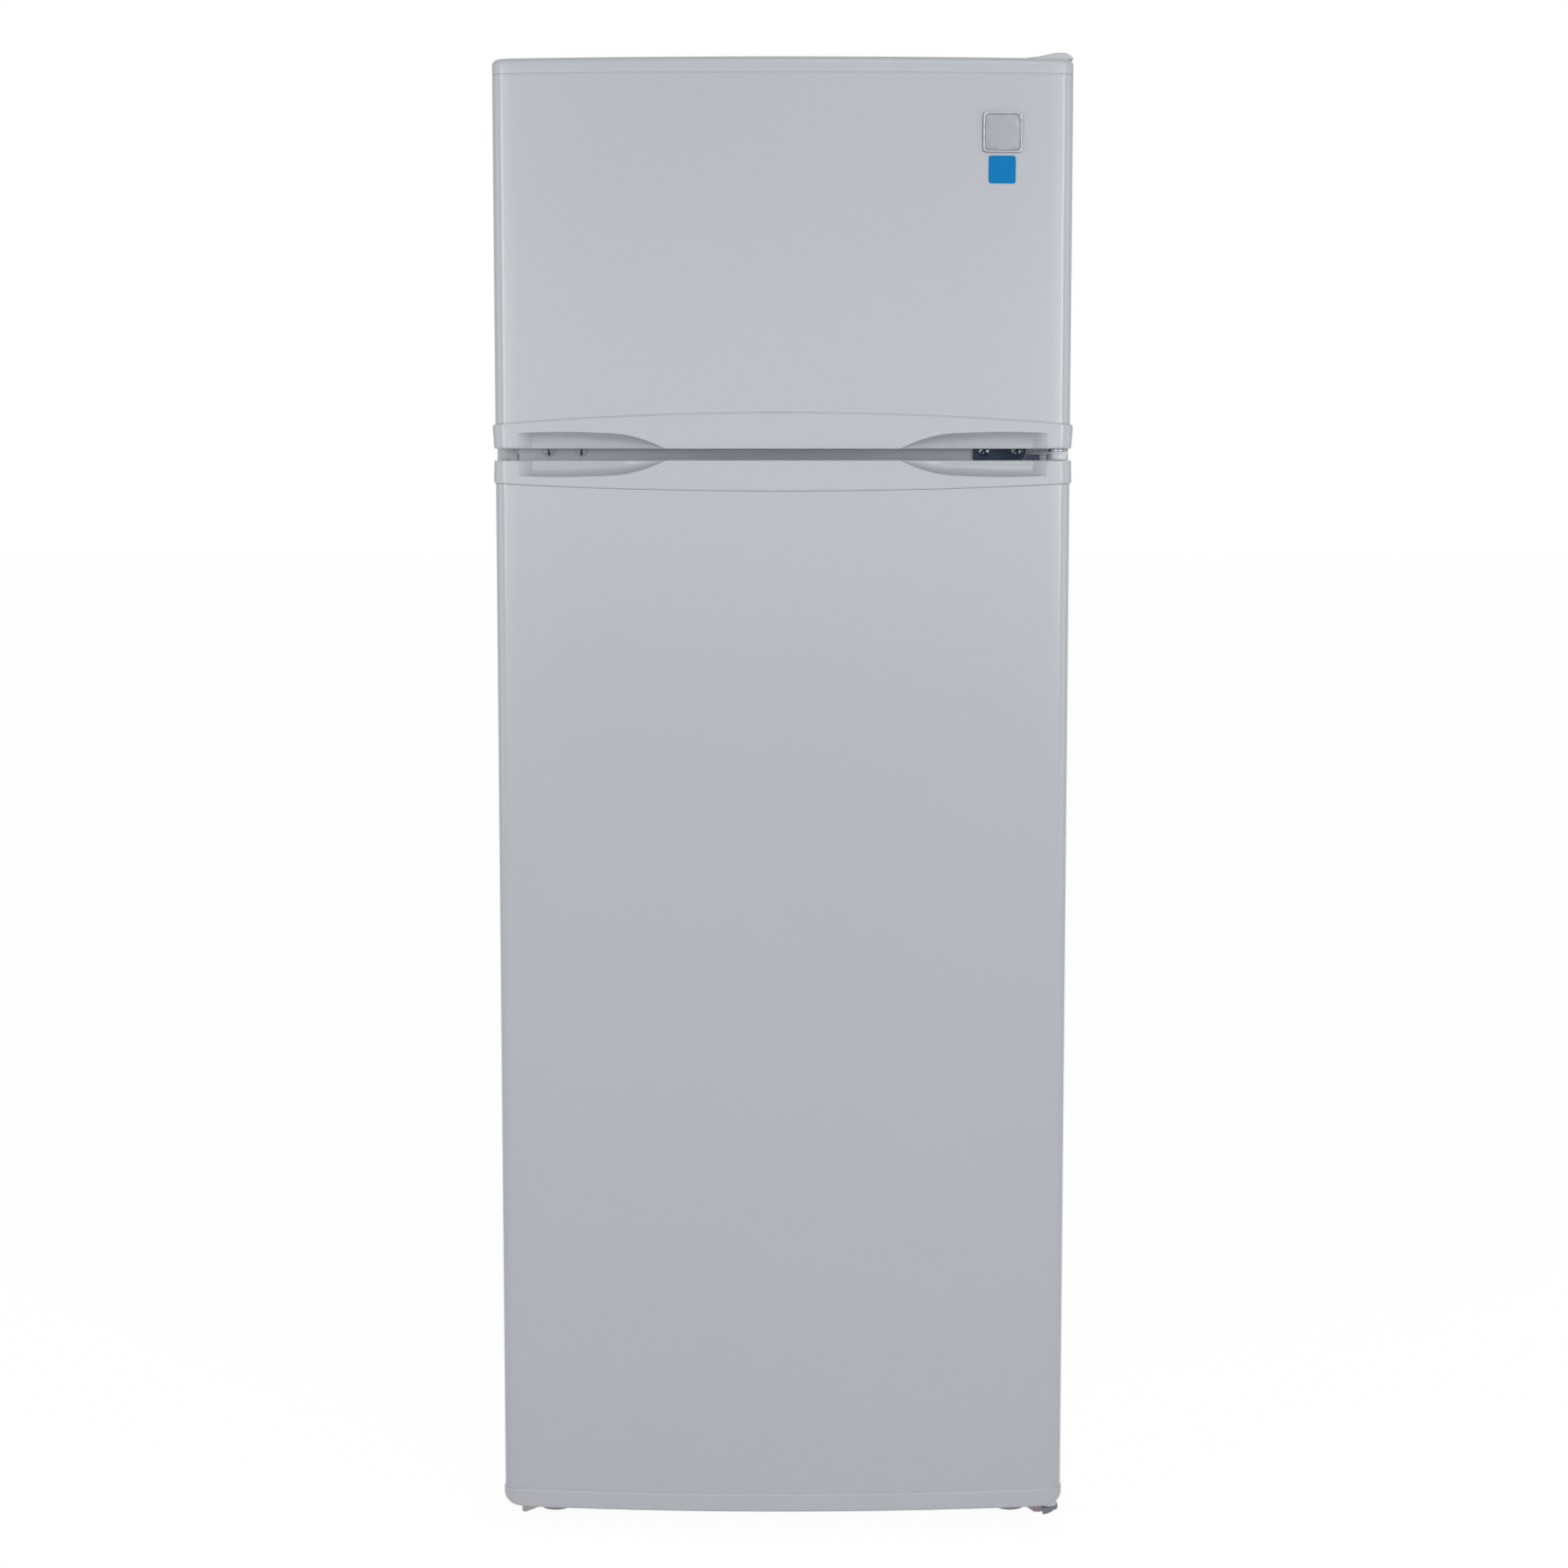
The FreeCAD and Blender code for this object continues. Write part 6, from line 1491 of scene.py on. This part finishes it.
# %% Pump
pump_low, pump_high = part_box("compressor")
pump_x = -0.040
pump_y = (pump_low[1] + pump_high[1]) / 2
foot_z = pump_low[2]
shell_shape = [(0.0022, 0.50), (0.006, 0.78), (0.014, 0.90), (0.026, 0.955), (0.046, 0.972),
               (0.070, 0.972), (0.0725, 0.984), (0.0735, 0.984), (0.0780, 0.984),
               (0.0790, 0.972), (0.100, 0.965), (0.124, 0.930), (0.136, 0.860),
               (0.1435, 0.740), (0.1480, 0.560), (0.1500, 0.30)]
turns = [2 * math.pi * k / 64 for k in range(64)]
rows = [[(pump_x + 0.068 * share * math.cos(turn), pump_y + 0.0568 * share * math.sin(turn),
          foot_z + height) for turn in turns] for height, share in shell_shape]
verts, faces = bridge(rows, closed=True)
faces += end_faces(verts, len(turns))
piece_from("pump_shell", verts, faces, FINISH["black_metal"], "cabinet", ("compressor",))
plate = slab((pump_x - 0.092, pump_y - 0.056, foot_z),
             (pump_x + 0.092, pump_y + 0.056, foot_z + 0.0022))
moulded("pump_plate", [plate], FINISH["black_metal"], "cabinet", round_by=0.0007)
relay_x = pump_x + 0.0668
relay = slab((relay_x - 0.004, pump_y - 0.0165, foot_z + 0.051),
             (relay_x + 0.0292, pump_y + 0.0165, foot_z + 0.1075))
cap = slab((relay_x + 0.010, pump_y - 0.0145, foot_z + 0.054),
           (relay_x + 0.0298, pump_y + 0.0145, foot_z + 0.1045))
moulded("pump_relay", [relay, cap], FINISH["black_plastic"], "cabinet", round_by=0.0012)
grommet_low, grommet_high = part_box("compressor_grommets")
grommet = [(0.0078, 0.0), (0.0088, 0.15), (0.0088, 0.375), (0.0062, 0.5), (0.0062, 0.65),
           (0.0084, 0.75), (0.0084, 0.975), (0.0050, 1.0)]
tall = grommet_high[2] - grommet_low[2]
turns = [2 * math.pi * k / 24 for k in range(24)]
rows = [[(r * math.cos(turn), r * math.sin(turn), share * tall) for turn in turns]
        for r, share in grommet]
GROMMET = pattern_object("grommet", *bridge(rows, closed=True))
edge = 0.009
spots = [(x, y, grommet_low[2]) for x in (grommet_low[0] + edge, grommet_high[0] - edge)
         for y in (grommet_low[1] + edge, grommet_high[1] - edge)]
spread_copies("pump_grommets", GROMMET, spots, UP, FINISH["black_rubber"], "cabinet",
              ("compressor_grommets",))
print("pump foot at", round(foot_z, 4), "on", len(spots), "grommets")

# %% [markdown]
# The pump's warm top carries the tray that catches the melted frost. It is an open tub: a
# plan with rounded corners is carried up the outside, over a rolled rim and down the
# inside. The bins and the drawer take the same form later.

# %% Tray
def plan_line(half, y0, y1, near, far, inset, steps=8):
    """A rectangle in x and y about x = 0 with near and far corners of their own radius."""
    line = []
    for sx, sy, radius, start in ((1, 1, far, 0.0), (-1, 1, far, 90.0),
                                  (-1, -1, near, 180.0), (1, -1, near, 270.0)):
        keep = max(radius - inset, 0.0003)
        cx = sx * (half - inset - keep)
        cy = (y1 - inset - keep) if sy > 0 else (y0 + inset + keep)
        for k in range(steps + 1):
            turn = math.radians(start + 90.0 * k / steps)
            line.append((cx + keep * math.cos(turn), cy + keep * math.sin(turn)))
    return line


def tub_piece(name, node, body, low, high, near, far, wall, lean=0.0, extra=()):
    """An open container: rounded corners, soft bottom edge, rolled rim, walls that lean."""
    half = (high[0] - low[0]) / 2 - 0.0002
    centre = (high[0] + low[0]) / 2
    y0, y1, z0, z1 = low[1] + 0.0002, high[1] - 0.0002, low[2] + 0.0002, high[2]
    tall = z1 - z0
    soft = 0.004
    outside = [(z0, soft + lean), (z0 + 0.0006, 0.0022 + lean), (z0 + 0.002, 0.0008 + lean),
               (z0 + soft, lean), (z1 - 0.007, lean * 0.1 + 0.0008),
               (z1 - 0.006, 0.0), (z1 - 0.0008, 0.0), (z1, 0.0008)]
    inside = [(z1, wall - 0.0006), (z1 - 0.0008, wall), (z1 - 0.008, wall + 0.0006),
              (z0 + wall + soft, wall + lean), (z0 + wall + 0.001, wall + lean + 0.0012),
              (z0 + wall, wall + lean + soft)]
    grid = []
    for z, inset in outside + inside:
        grid.append([(centre + x, y, z)
                     for x, y in plan_line(half, y0, y1, near, far, inset)])
    verts, faces = bridge(grid, closed=True)
    faces += end_faces(verts, len(grid[0]))
    add_parts(verts, faces, extra)
    return piece_from(name, verts, faces, nodes[node].data.materials[0], body, (node,))


tub_piece("melt_tray", "drip_tray", "cabinet", *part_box("drip_tray"), 0.008, 0.008, 0.0022,
          lean=0.003)
print("tray made of", len(plan_line(0.1, 0.0, 0.1, 0.008, 0.008, 0.0)), "points a row")

# %% [markdown]
# Three runs of copper pipe join the pump, the coil and the turned filter. Rubber and
# screws finish the back: a gland for the cord, spacers that hold the coil off, and a row
# of small screws along the edges of the rear panel.

# %% Pipes, filter and fittings of the back
dryer_low, dryer_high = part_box("filter_dryer")
dryer_x = (dryer_low[0] + dryer_high[0]) / 2
dryer_y = (dryer_low[1] + dryer_high[1]) / 2
long = dryer_high[2] - dryer_low[2]
turned("dryer", [(0.0016, 0.0), (0.0024, 0.001), (0.0026, 0.009), (0.0040, 0.013),
                 (0.0084, 0.018), (0.0088, 0.021), (0.0088, long - 0.021),
                 (0.0084, long - 0.018), (0.0040, long - 0.011), (0.0030, long - 0.006),
                 (0.0030, long)],
       (dryer_x, dryer_y, dryer_low[2]), UP, FINISH["copper"], "cabinet",
       ("filter_dryer",), slot="copper")
outlet = foot_z + 0.060
flank = pump_x - 0.066
out_run = [(flank, pump_y, outlet), (-0.222, pump_y, outlet), (-0.222, coil_y, outlet),
           (-0.222, coil_y, 0.330), (-0.199, coil_y, 0.330)]
level = dryer_high[2] + 0.024
down_run = [(0.199, coil_y, 1.170), (0.222, coil_y, 1.170), (0.222, coil_y, level),
            (0.222, dryer_y, level), (0.222, dryer_y, dryer_high[2] - 0.002)]
back_run = [(pump_x, pump_y + 0.0545, outlet), (pump_x, coil_y, outlet),
            (pump_x, coil_y, 0.286), (pump_x, rear - 0.001, 0.286)]
tube_piece("pipes", [out_run, down_run, back_run], 0.0024, 0.0085, FINISH["copper"],
           "cabinet", ("refrigerant_tubes",))
spacer_blocks = []
block_low, block_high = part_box("condenser_spacers")
for x in (-0.152, 0.152):
    for z in (0.414, 1.086):
        spacer_blocks.append(slab((x - 0.0058, block_low[1] + 0.0002, z - 0.0148),
                                  (x + 0.0058, block_high[1] - 0.0002, z + 0.0148)))
moulded("coil_spacers", spacer_blocks, FINISH["black_plastic"], "cabinet",
        ("condenser_spacers",), round_by=0.0018)
gland_low, gland_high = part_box("cord_gland")
gland_r = (gland_high[0] - gland_low[0]) / 2
turned("gland", [(0.0040, 0.0), (gland_r, 0.0), (gland_r, 0.0020),
                 (gland_r - 0.0012, 0.0030), (gland_r - 0.0022, 0.0094),
                 (gland_r - 0.0030, 0.0100), (0.0040, 0.0100), (0.0040, 0.0)],
       ((gland_low[0] + gland_high[0]) / 2, gland_low[1],
        (gland_low[2] + gland_high[2]) / 2), ALONG_Y, FINISH["black_rubber"], "cabinet",
       ("cord_gland",), steps=48, slot="black_rubber", hollow=True)
panel_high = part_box("back_panel")[1]
edge_x = panel_high[0] - 0.010
marks = [(side * edge_x, rear, z) for side in (-1, 1)
         for z in (0.30, 0.52, 0.74, 0.96, 1.18, 1.40)]
marks += [(x, rear, panel_high[2] - 0.012) for x in (-0.18, -0.06, 0.06, 0.18)]
spread_copies("back_screws", SMALL_CROSS, marks, ALONG_Y, FINISH["zinc_steel"],
              "cabinet", swing=1.2, seed=11)

# %% [markdown]
# ## Bins, drawer and shelves
# The containers share one form: walls that lean a little, a soft bottom edge and a rolled
# rim. The drawer has a lip to pull, and each glass shelf has a moulded trim along its
# front edge.

# %% Containers
for node in ("freezer_lower_bin", "freezer_upper_bin", "bottle_bin", "middle_door_bin",
             "upper_door_bin"):
    tub_piece(node + "_form", node, node + "_body", *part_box(node), 0.003, 0.014, 0.0022)
drawer_low, drawer_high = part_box("crisper_drawer")
lip_front = drawer_low[1]
drawer_front = lip_front + 0.009
top_z = drawer_high[2]
points = [(drawer_front + 0.001, top_z - 0.0165), (lip_front + 0.0016, top_z - 0.0070),
          (lip_front + 0.0002, top_z - 0.0055), (lip_front + 0.0002, top_z - 0.0012),
          (lip_front + 0.0012, top_z - 0.0002), (drawer_front + 0.001, top_z - 0.0002)]
pull_half = (drawer_high[0] - drawer_low[0]) / 4
pull = prism(points, -pull_half + 0.0004, pull_half - 0.0004, "x")
tub_piece("drawer_form", "crisper_drawer", "crisper_drawer_body",
          (drawer_low[0], drawer_front, drawer_low[2]), drawer_high, 0.004, 0.004, 0.0025,
          extra=[pull])
trim_low, trim_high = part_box("shelf_trims")
trim_half = trim_high[0]
nose = 0.0060
profiles = []
for node in ("upper_glass_shelf", "lower_glass_shelf", "crisper_cover"):
    low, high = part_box(node)
    z0 = low[2] - 0.004
    z1 = low[2] + 0.008
    y0 = trim_low[1]
    y1 = low[1] + 0.0001
    points = [(y1, z0), (y1, z1), (y0 + 0.0062, z1)]
    points += [(y0 + 0.0062 - nose * math.sin(k / 6 * math.pi / 2),
                z1 - nose * (1 - math.cos(k / 6 * math.pi / 2))) for k in range(1, 7)]
    points += [(y0 + 0.0002, z0 + 0.0012), (y0 + 0.0014, z0)]
    profiles.append(prism(points, -trim_half, trim_half, "x"))
moulded("trims_form", profiles, FINISH["trim_plastic"], "cabinet", ("shelf_trims",),
        round_by=0.0005, segments=2)
rack_low, rack_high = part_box("freezer_wire_shelf")
frame_z = rack_low[2] + 0.0025
runs = [[(rack_low[0] + 0.0001, y, frame_z), (rack_high[0] - 0.0001, y, frame_z)]
        for y in (rack_low[1] + 0.0040, rack_high[1] - 0.0040)]
tube_piece("rack_frame", runs, 0.0024, 0.0, FINISH["white_wire"], "cabinet",
           ("freezer_wire_shelf",))
cross_z = rack_high[2] - 0.0016
side_gap = 0.006
pitch = (rack_high[0] - rack_low[0] - 2 * side_gap) / 12
cross = [[(rack_low[0] + side_gap + k * pitch, y, cross_z)
          for y in (rack_low[1] + 0.0002, rack_high[1] - 0.0002)] for k in range(13)]
tube_piece("rack_wires", cross, 0.0015, 0.0, FINISH["white_wire"], "cabinet",
           sides=10)
print("rack", [round(v, 4) for v in rack_low], [round(v, 4) for v in rack_high])

# %% [markdown]
# ## Lamp, dial and switch
# A box under the ceiling of the fresh food room holds the lamp behind a ribbed lens, the
# dial that sets the cold and the plunger of the door switch. The dial has a skirt with
# fine grips and the box has a row of marks round it: plain ticks that grow longer.

# %% Control box
knob_low, knob_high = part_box("thermostat_dial")
knob_x = (knob_low[0] + knob_high[0]) / 2
knob_z = (knob_low[2] + knob_high[2]) / 2
knob_r = (knob_high[0] - knob_low[0]) / 2
housing_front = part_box("control_housing")[0][1]
knob_deep = housing_front - 0.0003 - knob_low[1]
turns = [2 * math.pi * k / 96 for k in range(96)]
rows = []
for radius, depth, grip in ((0.0030, knob_deep + 0.012, 0.0), (0.0030, knob_deep, 0.0),
                            (knob_r - 0.0006, knob_deep, 0.0),
                            (knob_r, knob_deep - 0.0006, 0.0), (knob_r, 0.0085, 0.0),
                            (knob_r - 0.0012, 0.0078, 0.0), (knob_r - 0.0020, 0.0072, 1.0),
                            (knob_r - 0.0026, 0.0020, 1.0), (knob_r - 0.0036, 0.0006, 0.6),
                            (knob_r - 0.0052, 0.0002, 0.0), (knob_r - 0.0100, 0.0008, 0.0)):
    row = []
    for turn in turns:
        r = radius - grip * (0.0005 + 0.0005 * math.cos(24 * turn))
        row.append((knob_x + r * math.cos(turn), knob_low[1] + depth,
                    knob_z + r * math.sin(turn)))
    rows.append(row)
verts, faces = bridge(rows, closed=True)
faces += end_faces(verts, len(turns))
piece_from("dial_form", verts, faces, FINISH["trim_plastic"], "thermostat_dial_body",
           ("thermostat_dial",))
finish("mark_grey", (96, 104, 118), 0.5, grain=0.04, fine=900.0)
pointer = slab((knob_x - 0.0007, knob_low[1] + 0.0001, knob_z + 0.0060),
               (knob_x + 0.0007, knob_low[1] + 0.0006, knob_z + knob_r - 0.0052))
moulded("dial_pointer", [pointer], FINISH["mark_grey"], "thermostat_dial_body",
        round_by=0.0002, segments=2)
ticks = []
half = 0.0004
for k in range(7):
    turn = math.radians(90.0 - 45.0 * k)
    inner = knob_r + 0.0012
    outer = inner + 0.0010 + 0.00035 * k
    c, s = math.cos(turn), math.sin(turn)
    corners = []
    for along, across in ((inner, -half), (outer, -half), (outer, half), (inner, half)):
        corners.append((knob_x + along * c - across * s, knob_z + along * s + across * c))
    ticks.append(prism(corners, housing_front - 0.00012, housing_front + 0.0001))
moulded("dial_marks", ticks, FINISH["mark_grey"], "cabinet", round_by=0.0)
lens_low, lens_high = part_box("lamp_lens")
ribs = 30
rows = []
for k in range(ribs * 4 + 1):
    x = lens_low[0] + (lens_high[0] - lens_low[0]) * k / (ribs * 4)
    bottom = lens_low[2] + 0.0005 * (0.5 - 0.5 * math.cos(2 * math.pi * k / 4))
    rows.append([(x, lens_low[1], bottom), (x, lens_high[1], bottom),
                 (x, lens_high[1], lens_high[2]), (x, lens_low[1], lens_high[2])])
verts, faces = bridge(rows, closed=True)
faces += end_faces(verts, 4)
piece_from("lens_form", verts, faces, FINISH["lamp_glass"], "cabinet", ("lamp_lens",))
bulb_low, bulb_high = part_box("lamp_bulb")
bulb_y = (bulb_low[1] + bulb_high[1]) / 2
bulb_z = (bulb_low[2] + bulb_high[2]) / 2
bulb_r = (bulb_high[2] - bulb_low[2]) / 2
bulb_long = bulb_high[0] - bulb_low[0]
shape = [(0.0001, 0.0)]
for k in range(1, 9):
    turn = k / 8 * math.pi / 2
    shape.append((bulb_r * 0.98 * math.sin(turn), bulb_r * (1 - math.cos(turn))))
shape += [(bulb_r * 0.95, 0.018), (bulb_r * 0.78, 0.024), (bulb_r * 0.56, 0.0275)]
turned("bulb_glass", shape, (bulb_low[0], bulb_y, bulb_z), ALONG_X, FINISH["lamp_glass"],
       "cabinet", ("lamp_bulb",), slot="lamp_glass")
base_shape = [(bulb_r * 0.50, 0.0275)]
step = 0.0275
while step < bulb_long - 0.003:
    base_shape += [(bulb_r * 0.50, step), (bulb_r * 0.44, step + 0.0009)]
    step += 0.0018
base_shape += [(bulb_r * 0.36, bulb_long - 0.0004), (0.0010, bulb_long)]
turned("bulb_base", base_shape, (bulb_low[0], bulb_y, bulb_z), ALONG_X,
       FINISH["bright_steel"], "cabinet", slot="lamp_glass")
plunger_low, plunger_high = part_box("door_switch_plunger")
plunger_r = (plunger_high[0] - plunger_low[0]) / 2
plunger_long = plunger_high[1] - plunger_low[1]
turned("plunger_form", [(plunger_r * 0.55, 0.0), (plunger_r * 0.85, 0.0008),
                        (plunger_r - 0.0001, 0.0024), (plunger_r - 0.0001, plunger_long)],
       ((plunger_low[0] + plunger_high[0]) / 2, plunger_low[1],
        (plunger_low[2] + plunger_high[2]) / 2), ALONG_Y, FINISH["trim_plastic"],
       "door_switch_plunger_body", ("door_switch_plunger",), slot="trim_plastic")
print("control box done")
